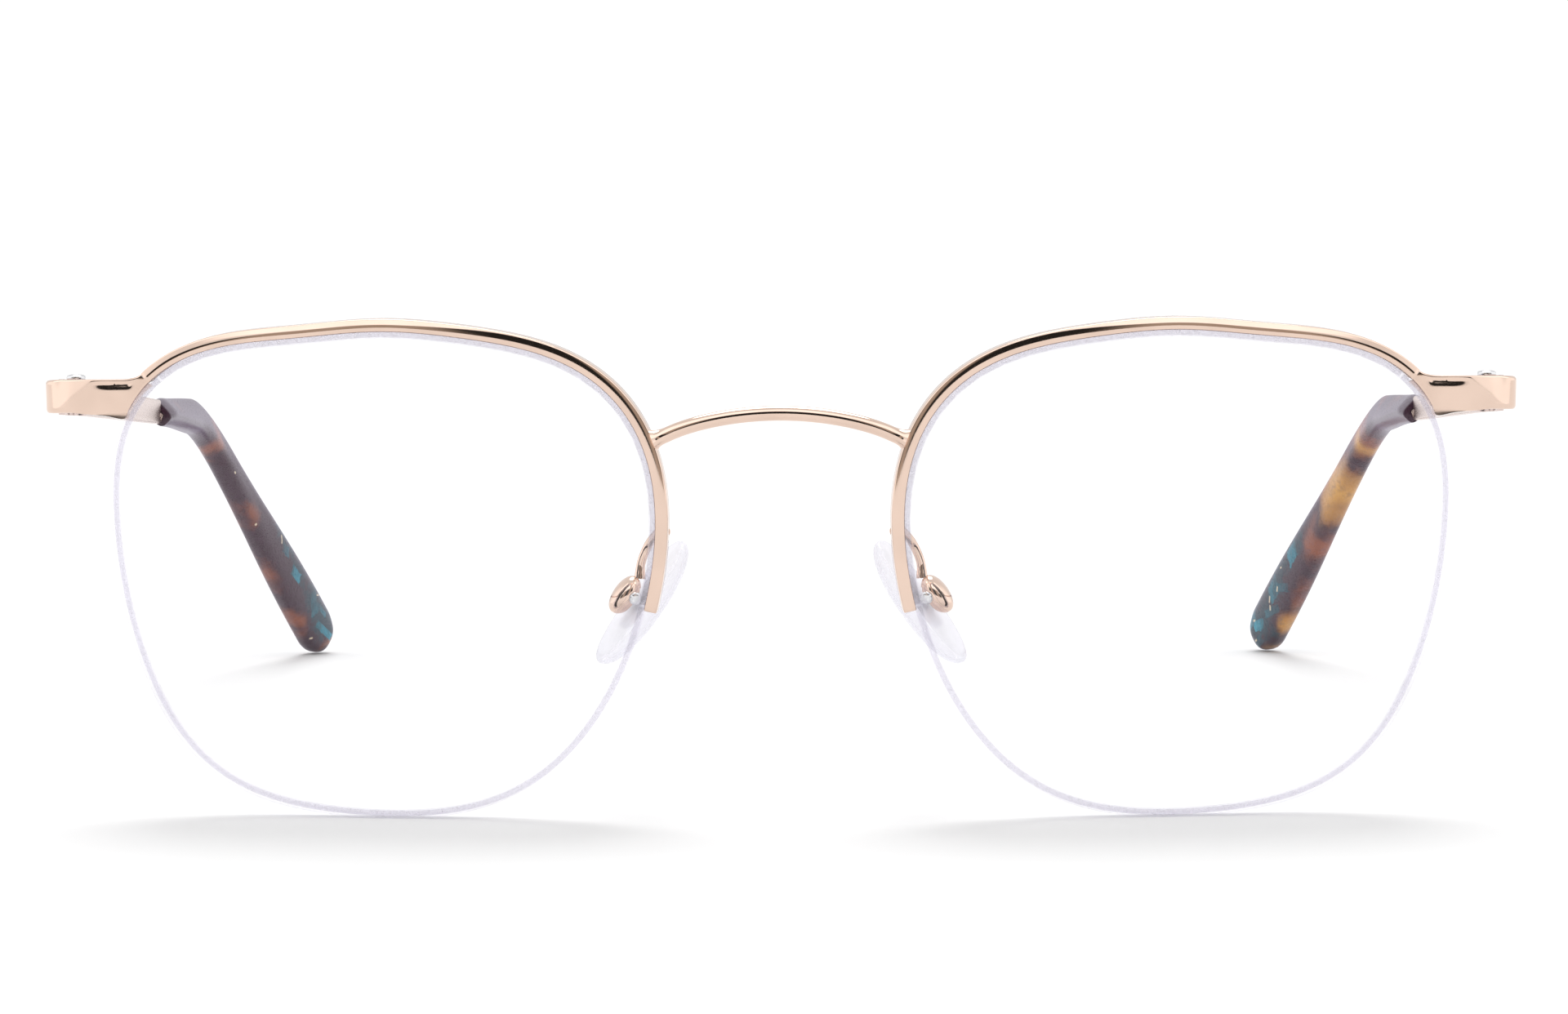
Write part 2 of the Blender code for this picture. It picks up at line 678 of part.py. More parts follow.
def pad_frame():
    """Axes at the pad screw: local x to the nose, y back along the screw, z up the pad."""
    up = Vector((-math.sin(PAD_LEAN), 0.0, math.cos(PAD_LEAN)))
    nose0 = Vector((-math.cos(PAD_LEAN), 0.0, -math.sin(PAD_LEAN)))
    back = Vector((0, 1, 0))
    nose = nose0 * math.cos(PAD_SPLAY) + back * math.sin(PAD_SPLAY)
    screw = back * math.cos(PAD_SPLAY) - nose0 * math.sin(PAD_SPLAY)
    made = Matrix((nose, screw, up)).transposed().to_4x4()
    made.translation = Vector(PAD_PIVOT)
    return made


def make_pad_arm(name, side):
    foot = edge_section(math.radians(171.4), ((0.62, RIM_HALF_DEPTH + 0.06),))[0]
    route = [foot, foot + Vector((-0.05, 2.6, 0.35)), (11.35, 6.3, 26.9), (12.4, 8.5, 25.7), (13.2, 9.2, 23.9),
             (13.32, 9.22, 23.0)]
    return tube(name, side, through(route, 4), 0.42, FRONT, "rose_gold")


def make_pad_box(name, side):
    frame = pad_frame()
    made = box(name, side, (-1.75, -1.3, -1.95), (BOX_FACE, 1.3, 1.65), FRONT, "rose_gold", frame=frame)
    bevel(made, 0.55, 3)
    hollow = box(f"{name}_hollow", side, (-1.1, -0.85, -1.05), (BOX_FACE + 1.0, 0.85, 1.05), FRONT, cutter=True,
                 frame=frame)
    boolean(made, hollow, "DIFFERENCE")
    across = frame @ Matrix.Rotation(math.radians(90), 4, "X")
    hole = rod(f"{name}_hole", side, (0, 0, 0), PAD_SCREW_RADIUS + 0.04, 6.0, FRONT, cutter=True, frame=across,
               segments=20)
    boolean(made, hole, "DIFFERENCE")
    return made


def make_pad_screw(name, side):
    r = PAD_SCREW_RADIUS
    profile = ((0.0, -1.5), (r - 0.08, -1.5), (r, -1.42), (r, 1.39), (0.62, 1.39), (0.62, 1.58), (0.5, 1.7), (0.0, 1.72))
    frame = pad_frame()
    across = frame @ Matrix.Rotation(math.radians(90), 4, "X")
    # The head faces the front, where local y is negative.
    made = turned(name, side, profile, PAD_PIVOT, FRONT, "steel", frame=across, steps=16)
    slot = box(f"{name}_slot", side, (-1.0, -2.2, -0.09), (1.0, -1.56, 0.09), FRONT, cutter=True, frame=frame)
    boolean(made, slot, "DIFFERENCE")
    return made


def pad_outline(share, depth, grow=0.0, count=28):
    made = []
    for k in range(count):
        angle = 2 * math.pi * k / count
        c, s = math.cos(angle), math.sin(angle)
        width = (PAD_HALF_WIDTH * share + grow) * math.copysign(abs(c) ** 0.9, c)
        length = (PAD_HALF_LENGTH * share + grow) * math.copysign(abs(s) ** 0.9, s)
        made.append(Vector((depth, width, length)))
    return made


def insert_outline(depth, shrink, count=20):
    made = []
    for k in range(count):
        angle = 2 * math.pi * (k + 0.5) / count
        z = 1.4 * math.copysign(1, math.sin(angle))
        made.append(Vector((depth, (1.7 - shrink) * math.cos(angle), z + (1.7 - shrink) * math.sin(angle))))
    return made


def make_pad(name, side, pivot):
    f, t = PAD_FACE, PAD_THICKNESS
    rings = [pad_outline(0.90, f), pad_outline(1.0, f + 0.28), pad_outline(1.0, f + 0.55), pad_outline(0.9, f + 0.98),
             pad_outline(0.62, f + t * 0.94), pad_outline(0.25, f + t)]
    bm = loft(rings)
    settle(bm, side, pad_frame())
    made = from_bmesh(name, bm, pivot, "pad", sharp=60.0)
    pocket = loft([insert_outline(f - 0.5, 0.0), insert_outline(f + 0.62, 0.0)])
    settle(pocket, side, pad_frame())
    boolean(made, from_bmesh(f"{name}_pocket", pocket, pivot, cutter=True), "DIFFERENCE")
    return made


def make_insert(name, side, pivot):
    f = PAD_FACE
    frame = pad_frame()
    plate = loft([insert_outline(f + 0.04, 0.06), insert_outline(f + 0.56, 0.06)])
    settle(plate, side, frame)
    made = from_bmesh(name, plate, pivot, "insert", sharp=40.0)
    lug = box(f"{name}_lug", side, (-0.72, -0.72, -0.6), (f + 0.3, 0.72, 0.6), pivot, cutter=True, frame=frame)
    across = frame @ Matrix.Rotation(math.radians(90), 4, "X")
    hole = rod(f"{name}_hole", side, (0, 0, 0), PAD_SCREW_RADIUS + 0.06, 4.0, pivot, cutter=True, frame=across,
               segments=20)
    boolean(made, lug, "UNION")
    boolean(made, hole, "DIFFERENCE")
    return made


# ---- assembly ----

make_bridge()
for label, side in (("left", 1), ("right", -1)):
    temple = Pivot(f"{label}_temple_pivot", (HINGE_X * side, HINGE_Y, HINGE_Z))
    pad = Pivot(f"{label}_pad_pivot", (PAD_PIVOT[0] * side, PAD_PIVOT[1], PAD_PIVOT[2]))
    make_lens(f"{label}_lens", side)
    make_rim(f"{label}_eyewire", side)
    make_liner(f"{label}_rim_liner", side)
    make_cord(f"{label}_lens_cord", side)
    make_end_piece(f"{label}_end_piece", side)
    make_hinge_front(f"{label}_hinge_front", side)
    make_hinge_temple(f"{label}_hinge_temple", side, temple)
    make_hinge_screw(f"{label}_hinge_screw", side)
    make_arm(f"{label}_temple_arm", side, temple)
    make_tip(f"{label}_temple_tip", side, temple)
    make_pad_arm(f"{label}_pad_arm", side)
    make_pad_box(f"{label}_pad_box", side)
    make_pad_screw(f"{label}_pad_screw", side)
    make_pad(f"{label}_nose_pad", side, pad)
    make_insert(f"{label}_pad_insert", side, pad)
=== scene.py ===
"""Half rim eyeglasses: the looks.

Every surface is drawn in the wearer's frame in millimetres (x to the wearer's left, y back along the temples, z up
from the lowest point of the lenses), and REST tips it onto the table, as the CAD does. `side` is +1 for the wearer's
left and -1 for the right.
"""

import math

import bmesh
import bpy
from mathutils import Matrix, Vector, noise


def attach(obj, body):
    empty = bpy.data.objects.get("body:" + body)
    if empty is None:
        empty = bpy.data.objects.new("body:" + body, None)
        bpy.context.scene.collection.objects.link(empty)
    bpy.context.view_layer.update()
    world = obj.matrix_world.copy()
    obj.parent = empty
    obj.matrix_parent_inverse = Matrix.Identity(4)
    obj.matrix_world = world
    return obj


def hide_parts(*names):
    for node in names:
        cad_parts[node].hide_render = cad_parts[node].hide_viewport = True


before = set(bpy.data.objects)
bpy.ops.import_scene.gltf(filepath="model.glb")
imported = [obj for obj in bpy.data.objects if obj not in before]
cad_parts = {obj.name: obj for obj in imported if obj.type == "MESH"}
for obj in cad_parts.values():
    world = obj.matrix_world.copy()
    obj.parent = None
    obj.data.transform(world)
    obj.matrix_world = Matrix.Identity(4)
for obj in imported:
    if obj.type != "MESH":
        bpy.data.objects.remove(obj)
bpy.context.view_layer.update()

MM = 0.001

# ---------------------------------------------------------------- sizes shared with the CAD
LENS_RADII = (25.10, 27.25, 28.30, 25.00, 22.74, 22.72, 24.42, 26.85, 26.68,
              25.05, 24.20, 24.11, 23.94, 23.10, 22.95, 24.12, 24.80, 24.50)
LENS_CENTRE_X = 37.1
LENS_CENTRE_Z = 22.8
LENS_FRONT_Y = -1.0
LENS_BASE_RADIUS = 122.0
LENS_THICKNESS = 2.1
WRAP = math.radians(6.0)
PANTOSCOPIC = math.radians(7.0)
GROOVE_HALF = 0.32
GROOVE_DEPTH = 0.62
RIM_FROM = 40.6
RIM_TO = 187.6
RIM_INNER = 0.04
RIM_OUTER = 1.20
RIM_HALF_DEPTH = 0.95
CHANNEL_HALF = 0.31
CHANNEL_DEPTH = 0.64
CORD_RADIUS = 0.26
BRIDGE_CREST_Z = 37.8
BRIDGE_CREST_Y = -1.55
BRIDGE_HALF_X = 11.35
BRIDGE_RADIUS = 0.70
END_TOP_Z = 41.25
END_BOTTOM_Z = 38.1
END_BOTTOM_INNER_Z = 37.75
END_OUTER_X = 69.4
END_WALL = 1.15
END_BACK_Y = 13.45
HINGE_X = 67.2
HINGE_Y = 12.5
HINGE_Z = 39.65
KNUCKLE_RADIUS = 1.0
KNUCKLE_HEIGHT = 1.1
HINGE_BORE = 0.65
HINGE_PIN = 0.60
SCREW_HEAD_RADIUS = 0.92
ARM_X = 68.83
ARM_Y = 13.6
ARM_THICKNESS = 1.15
ARM_STRAIGHT = 8.0
ARM_TOE_IN = -0.0132
ARM_DROP = -0.0085
ARM_HEIGHT_FRONT = 3.05
ARM_HEIGHT_BACK = 2.6
TIP_START_Y = 79.6
BEND_START_Y = 103.0
BEND_RADIUS = 22.0
BEND_ANGLE = math.radians(42.0)
BEND_LEAN = math.radians(22.0)
TIP_STRAIGHT = 34.5
TIP_INSET = 0.42
CORE_HEIGHT = 1.3
CORE_THICKNESS = 0.9
CORE_GAP = 0.06
PAD_PIVOT = (14.1, 9.3, 20.7)
PAD_LEAN = math.radians(35.6)
PAD_SPLAY = math.radians(17.0)
PAD_HALF_LENGTH = 7.0
PAD_HALF_WIDTH = 3.8
PAD_FACE = 0.70
PAD_THICKNESS = 2.3
BOX_FACE = 0.30
PAD_SCREW_RADIUS = 0.38
REST_PITCH = math.radians(4.605)
REST_SHIFT = (0.0, -72.202, 0.3592)
REST = Matrix.Translation(Vector(REST_SHIFT) * MM) @ Matrix.Rotation(-REST_PITCH, 4, "X") @ Matrix.Scale(MM, 4)


def ease(a, b, x):
    t = min(1.0, max(0.0, (x - a) / (b - a)))
    return t * t * (3 - 2 * t)


# ---------------------------------------------------------------- camera

def make_camera():
    data = bpy.data.cameras.new("camera")
    data.lens = 122.81
    data.sensor_width = 36.0
    data.clip_start = 0.02
    data.clip_end = 100.0
    cam = bpy.data.objects.new("camera", data)
    bpy.context.scene.collection.objects.link(cam)
    turn = (Matrix.Rotation(0.00859034660, 4, "Z") @ Matrix.Rotation(-0.0855316683, 4, "X")
            @ Matrix.Rotation(0.00346017845, 4, "Y"))
    x, y, z = turn.col[0].xyz, turn.col[1].xyz, turn.col[2].xyz
    basis = Matrix((x, z, -y)).transposed().to_4x4()
    basis.translation = Vector((4.643, -565.151, 71.839)) * MM
    cam.matrix_world = basis
    bpy.context.scene.camera = cam
    return cam


# ---------------------------------------------------------------- node helpers

class Nodes:
    """A short way to write a node tree."""

    def __init__(self, tree):
        self.tree = tree
        tree.nodes.clear()

    def add(self, kind, inputs=None, **settings):
        node = self.tree.nodes.new(kind)
        for key, value in settings.items():
            setattr(node, key, value)
        for key, value in (inputs or {}).items():
            self.put(node.inputs[key], value)
        return node

    def put(self, socket, value):
        if isinstance(value, bpy.types.NodeSocket):
            self.tree.links.new(value, socket)
        elif isinstance(value, bpy.types.Node):
            self.tree.links.new(value.outputs[0], socket)
        else:
            socket.default_value = value

    def math(self, operation, a, b=0.0, c=None, clamp=False):
        node = self.tree.nodes.new("ShaderNodeMath")
        node.operation = operation
        node.use_clamp = clamp
        self.put(node.inputs[0], a)
        self.put(node.inputs[1], b)
        if c is not None:
            self.put(node.inputs[2], c)
        return node.outputs[0]

    def step(self, x, low, high, to_low=0.0, to_high=1.0):
        node = self.tree.nodes.new("ShaderNodeMapRange")
        node.interpolation_type = "SMOOTHSTEP"
        for key, value in zip(("Value", "From Min", "From Max", "To Min", "To Max"), (x, low, high, to_low, to_high)):
            self.put(node.inputs[key], value)
        return node.outputs[0]

    def mix(self, factor, a, b, blend="MIX"):
        node = self.tree.nodes.new("ShaderNodeMix")
        node.data_type = "RGBA"
        node.blend_type = blend
        sockets = [s for s in node.inputs if s.type == "RGBA"]
        self.put(node.inputs[0], factor)
        self.put(sockets[0], a)
        self.put(sockets[1], b)
        return [s for s in node.outputs if s.type == "RGBA"][0]

    def position(self, scale=1000.0, stretch=(1, 1, 1)):
        where = self.add("ShaderNodeTexCoord").outputs["Object"]
        mapped = self.add("ShaderNodeMapping", {"Vector": where})
        mapped.inputs["Scale"].default_value = tuple(scale * s for s in stretch)
        return mapped.outputs["Vector"]

    def noise(self, vector, scale, detail=3.0, roughness=0.5, distortion=0.0):
        node = self.add("ShaderNodeTexNoise", {"Vector": vector, "Scale": scale, "Detail": detail,
                                               "Roughness": roughness, "Distortion": distortion})
        return node.outputs["Fac"]

    def attribute(self, name):
        return self.add("ShaderNodeAttribute", attribute_name=name, attribute_type="GEOMETRY").outputs["Fac"]

    def bump(self, height, strength, distance):
        return self.add("ShaderNodeBump", {"Height": height, "Strength": strength, "Distance": distance}).outputs[0]


def rgb(r, g, b):
    return (r, g, b, 1.0)


def new_material(name):
    made = bpy.data.materials.new(name)
    made.use_nodes = True
    return made, Nodes(made.node_tree)


def metal(name, colour, dark, roughness, brushed=(1, 1, 1), grain=0.4):
    """Polished plated metal: faint colour drift, fine polishing marks in the roughness, and the softest waviness."""
    made, n = new_material(name)
    where = n.position()
    drift = n.noise(where, 0.22, 2.0)
    marks = n.noise(n.position(stretch=brushed), 9.0, 4.0, 0.6)
    shade = n.mix(n.step(drift, 0.3, 0.75), rgb(*colour), rgb(*dark))
    rough = n.math("MULTIPLY_ADD", marks, roughness * 0.7, roughness * 0.65)
    shader = n.add("ShaderNodeBsdfPrincipled", {"Base Color": shade, "Roughness": rough, "Metallic": 1.0,
                                               "Normal": n.bump(marks, 0.05 * grain, 0.00002)})
    n.add("ShaderNodeOutputMaterial", {"Surface": shader})
    return made


def lens_clear(name="lens_clear"):
    """A coated plano lens: all but invisible, with a mirror-like gloss that grows at glancing angles."""
    made, n = new_material(name)
    smear = n.noise(n.position(), 0.12, 3.0, 0.55)
    gloss = n.add("ShaderNodeBsdfPrincipled", {"Base Color": rgb(0.97, 0.97, 1.0), "Metallic": 1.0,
                                              "Roughness": n.step(smear, 0.35, 0.8, 0.015, 0.05),
                                              "Normal": n.bump(smear, 0.01, 0.00002)})
    tint = n.mix(n.step(smear, 0.2, 0.9), rgb(0.992, 0.992, 0.996), rgb(0.998, 0.998, 1.0))
    clear = n.add("ShaderNodeBsdfTransparent", {"Color": tint})
    share = n.add("ShaderNodeFresnel", {"IOR": 1.25})
    n.add("ShaderNodeOutputMaterial", {"Surface": n.add("ShaderNodeMixShader", {0: share, 1: clear, 2: gloss})})
    return made


def frosted(name, colour, other, roughness, see_through, scale=3.0):
    """Ground plastic: a fine satin surface that lets some light through."""
    made, n = new_material(name)
    where = n.position()
    tooth = n.noise(where, scale, 4.0, 0.65)
    shade = n.mix(n.step(tooth, 0.3, 0.7), rgb(*colour), rgb(*other))
    body = n.add("ShaderNodeBsdfPrincipled", {"Base Color": shade, "Roughness": n.step(tooth, 0.2, 0.8, roughness * 0.8,
                                             roughness * 1.15), "Normal": n.bump(tooth, 0.12, 0.00002)})
    clear = n.add("ShaderNodeBsdfTransparent", {"Color": rgb(0.985, 0.98, 1.0)})
    share = n.step(tooth, 0.1, 0.9, 1 - see_through - 0.08, 1 - see_through + 0.08)
    n.add("ShaderNodeOutputMaterial", {"Surface": n.add("ShaderNodeMixShader", {0: share, 1: clear, 2: body})})
    return made


def silicone(name, colour, face, edge):
    """Clear silicone: see-through face on, milky and lavender towards its edges, under a soft gloss."""
    made, n = new_material(name)
    where = n.position()
    cloud = n.noise(where, 0.6, 3.0, 0.5)
    fine = n.noise(where, 6.0, 3.0, 0.6)
    shade = n.mix(n.step(cloud, 0.3, 0.7), rgb(*colour), rgb(*(min(1.0, c * 1.05) for c in colour)))
    body = n.add("ShaderNodeBsdfPrincipled", {"Base Color": shade, "Roughness": n.step(fine, 0.2, 0.8, 0.14, 0.26),
                                             "Coat Weight": 0.3, "Coat Roughness": 0.08,
                                             "Normal": n.bump(fine, 0.05, 0.00002)})
    clear = n.add("ShaderNodeBsdfTransparent", {"Color": rgb(0.985, 0.98, 0.995)})
    facing = n.add("ShaderNodeLayerWeight", {"Blend": 0.5}).outputs["Facing"]
    share = n.step(n.math("MULTIPLY_ADD", cloud, 0.12, facing), 0.15, 1.0, face, edge)
    n.add("ShaderNodeOutputMaterial", {"Surface": n.add("ShaderNodeMixShader", {0: share, 1: clear, 2: body})})
    return made


# Chips in the acetate: (mm along the tip, mm across it, half length, half width, slant, brightness).
CHIPS = {
    -1: ((56.2, 0.75, 0.85, 0.60, 0.5, 0.1), (60.2, 0.25, 1.10, 0.55, 0.35, 0.7), (66.2, 0.55, 1.4, 0.75, -0.3, 0.1),
         (70.6, -0.15, 1.9, 0.42, 0.45, 0.8), (68.2, 1.05, 1.3, 0.30, 0.35, 0.3)),
    1: ((57.4, 0.75, 1.20, 0.95, 0.25, 0.6), (62.6, -0.25, 1.5, 0.50, 0.9, 0.1), (64.2, 0.65, 1.3, 0.95, 0.2, 0.35),
        (66.6, -0.65, 1.6, 0.45, 0.6, 0.1), (70.3, 0.05, 1.05, 0.62, 0.75, 0.9), (71.4, 1.45, 1.2, 0.62, 0.3, 0.6),
        (72.0, -1.0, 1.0, 0.5, 0.5, 0.1)),
}
FLECKS = {
    -1: ((54.6, 1.05, 0.50, 0.13, -0.9), (40.0, -1.6, 0.20, 0.14, 0.3), (48.6, -2.0, 0.16, 0.14, 0.3), (69.5, -2.1, 0.20, 0.12, 0.8),
         (66.4, 1.8, 0.4, 0.09, 0.6)),
    1: ((63.4, 0.15, 0.34, 0.13, -0.5), (65.8, 0.45, 0.42, 0.13, -0.6), (66.5, -0.25, 0.30, 0.14, -0.7),
        (70.8, 1.05, 0.26, 0.12, 0.5), (60.8, 1.3, 0.22, 0.1, 0.4), (72.4, -0.6, 0.26, 0.12, 0.2)),
}


def acetate(name, dark, brown, amber, side):
    """Laminated acetate: mottled tortoiseshell with a band of teal flakes and a few gold flecks under the polish.

    The mesh carries where along and across the tip a point is, and two soft masks: `warm` for the light tortoise
    patches, `flakes` for the flaked layer.
    """
    made, n = new_material(name)
    where = n.position()
    warm, flakes, gold = n.attribute("warm"), n.attribute("flakes"), n.attribute("golden")
    swirl = n.noise(where, 0.42, 3.0, 0.55, 0.6)
    cloud = n.noise(where, 1.3, 3.0, 0.6, 0.3)
    level = n.math("ADD", warm,
                   n.math("ADD", n.math("MULTIPLY", n.math("SUBTRACT", swirl, 0.5), 1.1),
                          n.math("MULTIPLY", n.math("SUBTRACT", cloud, 0.5), 0.5)))
    base = n.mix(n.step(level, 0.20, 1.10), rgb(*dark), rgb(*brown))
    light = n.math("ADD", gold, n.math("MULTIPLY", n.math("SUBTRACT", cloud, 0.5), 0.5))
    base = n.mix(n.step(light, 0.12, 0.95), base, rgb(*amber))
    # Purple haze that drifts through the dark parts.
    base = n.mix(n.math("MULTIPLY", n.step(cloud, 0.45, 0.7), 0.35), base, rgb(dark[0] * 1.8, dark[1] * 2.2, dark[2] * 2.1))
    # Flakes: slanted chips laid one over another, broken at their edges, with a haze of teal round the lower ones.
    along, across = n.attribute("along"), n.attribute("across")
    ragged = n.math("MULTIPLY", n.math("SUBTRACT", n.noise(where, 1.6, 3.0, 0.55), 0.5), 1.0)
    streak = n.noise(n.position(stretch=(2.5, 0.7, 0.5)), 1.6, 2.0, 0.5)
    haze = n.step(n.math("ADD", flakes, n.math("MULTIPLY", n.math("SUBTRACT", cloud, 0.5), 1.6)), 0.22, 0.80, 0.0, 0.85)
    base = n.mix(haze, base, rgb(0.008, 0.038, 0.058))
    for at, place, long, wide, slant, bright in CHIPS[side]:
        ds, dq = n.math("SUBTRACT", along, at), n.math("SUBTRACT", across, place)
        u = n.math("ADD", n.math("MULTIPLY", ds, math.cos(slant)), n.math("MULTIPLY", dq, math.sin(slant)))
        v = n.math("ADD", n.math("MULTIPLY", ds, -math.sin(slant)), n.math("MULTIPLY", dq, math.cos(slant)))
        size = n.math("MAXIMUM", n.math("MULTIPLY", n.math("ABSOLUTE", u), 1 / long),
                      n.math("MULTIPLY", n.math("ABSOLUTE", n.math("MULTIPLY_ADD", u, 0.25, v)), 1 / wide))
        inside = n.step(n.math("ADD", size, ragged), 1.10, 0.94)
        tone = n.mix(n.step(n.math("MULTIPLY_ADD", u, 0.2 / long, streak), 0.25, 0.75),
                     rgb(0.003, 0.05 + 0.06 * bright, 0.075 + 0.08 * bright), rgb(0.008 + 0.012 * bright, 0.12 + 0.16 * bright,
                                                                                  0.17 + 0.22 * bright))
        base = n.mix(n.math("MULTIPLY", inside, 0.55 + 0.45 * bright), base, tone)
    for at, place, long, wide, slant in FLECKS[side]:
        ds, dq = n.math("SUBTRACT", along, at), n.math("SUBTRACT", across, place)
        u = n.math("ADD", n.math("MULTIPLY", ds, math.cos(slant)), n.math("MULTIPLY", dq, math.sin(slant)))
        v = n.math("ADD", n.math("MULTIPLY", ds, -math.sin(slant)), n.math("MULTIPLY", dq, math.cos(slant)))
        size = n.math("MAXIMUM", n.math("MULTIPLY", n.math("ABSOLUTE", u), 1 / long),
                      n.math("MULTIPLY", n.math("ABSOLUTE", v), 1 / wide))
        base = n.mix(n.step(n.math("ADD", size, ragged), 1.15, 0.85, 0.0, 0.85), base, rgb(0.66, 0.55, 0.40))
    fine = n.noise(where, 7.0, 3.0, 0.6)
    shader = n.add("ShaderNodeBsdfPrincipled", {
        "Base Color": base, "Roughness": n.step(fine, 0.2, 0.8, 0.24, 0.34), "IOR": 1.47, "Specular IOR Level": 0.42,
        "Sheen Weight": 0.30, "Sheen Roughness": 0.35, "Sheen Tint": rgb(0.80, 0.74, 1.0),
        "Normal": n.bump(fine, 0.05, 0.00002)})
    n.add("ShaderNodeOutputMaterial", {"Surface": shader})
    return made


ROSE = metal("rose_gold", (0.770, 0.590, 0.490), (0.715, 0.545, 0.450), 0.085, (1, 1, 1))
ROSE_ARM = metal("rose_gold_arm", (0.700, 0.570, 0.530), (0.650, 0.530, 0.490), 0.27, (1, 0.15, 1), 0.8)
STEEL = metal("steel", (0.74, 0.74, 0.75), (0.62, 0.62, 0.64), 0.20, (1, 1, 1), 1.2)
LENS = lens_clear()
LENS_EDGE = frosted("lens_edge", (0.95, 0.94, 0.98), (0.99, 0.985, 1.0), 0.45, 0.87)
NYLON = frosted("nylon", (0.96, 0.95, 0.985), (0.98, 0.975, 1.0), 0.3, 0.78)
PAD = silicone("clear_silicone", (0.87, 0.87, 0.935), 0.16, 0.66)
INSERT = silicone("clear_insert", (0.88, 0.88, 0.94), 0.10, 0.55)


# ---------------------------------------------------------------- mesh helpers

def finish_mesh(name, bm, side, body, materials, nodes, frame_in=None, sharp=32.0):
    if frame_in is not None:
        bmesh.ops.transform(bm, matrix=frame_in, verts=bm.verts)
    if side < 0:
        bmesh.ops.scale(bm, verts=bm.verts, vec=(-1, 1, 1))
    bmesh.ops.recalc_face_normals(bm, faces=bm.faces)
    bmesh.ops.transform(bm, matrix=REST, verts=bm.verts)
    mesh = bpy.data.meshes.new(name)
    bm.to_mesh(mesh)
    bm.free()
    mesh.shade_smooth()
    mesh.set_sharp_from_angle(angle=math.radians(sharp))
    made = bpy.data.objects.new(name, mesh)
    bpy.context.scene.collection.objects.link(made)
    for one in materials:
        mesh.materials.append(one)
    if body:
        settle(made, body, nodes)
    return made


def settle(made, body, nodes):
    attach(made, body)
    if nodes:
        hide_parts(*nodes)
    return made


def loft(rings, caps=(True, True), loop=False, materials=None):
    bm = bmesh.new()
    rows = [[bm.verts.new(p) for p in ring] for ring in rings]
    pairs = list(zip(rows, rows[1:])) + ([(rows[-1], rows[0])] if loop else [])
    count = len(rows[0])
    for k, (a, b) in enumerate(pairs):
        for i in range(count):
            j = (i + 1) % count
            face = bm.faces.new((a[i], a[j], b[j], b[i]))
            if materials:
                face.material_index = materials[k]
    if caps[0]:
        bm.faces.new(rows[0])
    if caps[1]:
        bm.faces.new(rows[-1])
    return bm


def cap_fan(bm, start, count, centre, material=0):
    """Closes the ring of verts start..start+count with a fan round a point."""
    bm.verts.ensure_lookup_table()
    hub = bm.verts.new(centre)
    bm.verts.ensure_lookup_table()
    for i in range(count):
        face = bm.faces.new((hub, bm.verts[start + i], bm.verts[start + (i + 1) % count]))
        face.material_index = material


def catmull(points, per_span):
    points = [Vector(p) for p in points]
    ends = [2 * points[0] - points[1]] + points + [2 * points[-1] - points[-2]]
    made = []
    for i in range(1, len(ends) - 2):
        a, b, c, d = ends[i - 1:i + 3]
        for k in range(per_span):
            t = k / per_span
            made.append(0.5 * (2 * b + (c - a) * t + (2 * a - 5 * b + 4 * c - d) * t * t
                               + (3 * b - a - 3 * c + d) * t ** 3))
    return made + [points[-1]]


def rounded(half_a, half_b, radius, per_corner=8, per_side=3):
    """A rounded rectangle of half sizes a and b, with points along its sides too."""
    radius = min(radius, half_a * 0.999, half_b * 0.999)
    made = []
    signs = ((1, 1), (-1, 1), (-1, -1), (1, -1))
    for corner, (sa, sb) in enumerate(signs):
        for k in range(per_corner):
            angle = math.radians(90 * corner + 90 * k / (per_corner - 1))
            made.append((sa * (half_a - radius) + radius * math.cos(angle),
                         sb * (half_b - radius) + radius * math.sin(angle)))
        na, nb = signs[(corner + 1) % 4]
        angle = math.radians(90 * (corner + 1))
        p = made[-1]
        q = (na * (half_a - radius) + radius * math.cos(angle), nb * (half_b - radius) + radius * math.sin(angle))
        for k in range(1, per_side + 1):
            t = k / (per_side + 1)
            made.append((p[0] + (q[0] - p[0]) * t, p[1] + (q[1] - p[1]) * t))
    return made


def tube(points, radii, count=24):
    """A round tube along points, with a radius at each, closed by a flat face at each end."""
    points = [Vector(p) for p in points]
    rings = []
    fore = None
    for i, point in enumerate(points):
        along = (points[min(i + 1, len(points) - 1)] - points[max(i - 1, 0)]).normalized()
        if fore is None:
            fore = Vector((0, 0, 1)) if abs(along.z) < 0.8 else Vector((1, 0, 0))
        fore = (fore - along * fore.dot(along)).normalized()
        other = along.cross(fore)
        rings.append([point + (fore * math.cos(2 * math.pi * k / count)
                               + other * math.sin(2 * math.pi * k / count)) * radii[i] for k in range(count)])
    return loft(rings)


def cutter(bm, side, frame_in=None):
    made = finish_mesh("cutter", bm, side, None, [], None, frame_in)
    return made


def apply_boolean(obj, other, operation):
    made = obj.modifiers.new("cut", "BOOLEAN")
    made.operation = operation
    made.solver = "EXACT"
    made.object = other


def bake_modifiers(obj, others=(), sharp=32.0):
    """Turns the object's modifiers into its mesh, and clears the cutters away."""
    bpy.context.view_layer.update()
    graph = bpy.context.evaluated_depsgraph_get()
    mesh = bpy.data.meshes.new_from_object(obj.evaluated_get(graph))
    obj.modifiers.clear()
    old = obj.data
    obj.data = mesh
    bpy.data.meshes.remove(old)
    for other in others:
        bpy.data.objects.remove(other, do_unlink=True)
    mesh.shade_smooth()
    mesh.set_sharp_from_angle(angle=math.radians(sharp))
    return obj


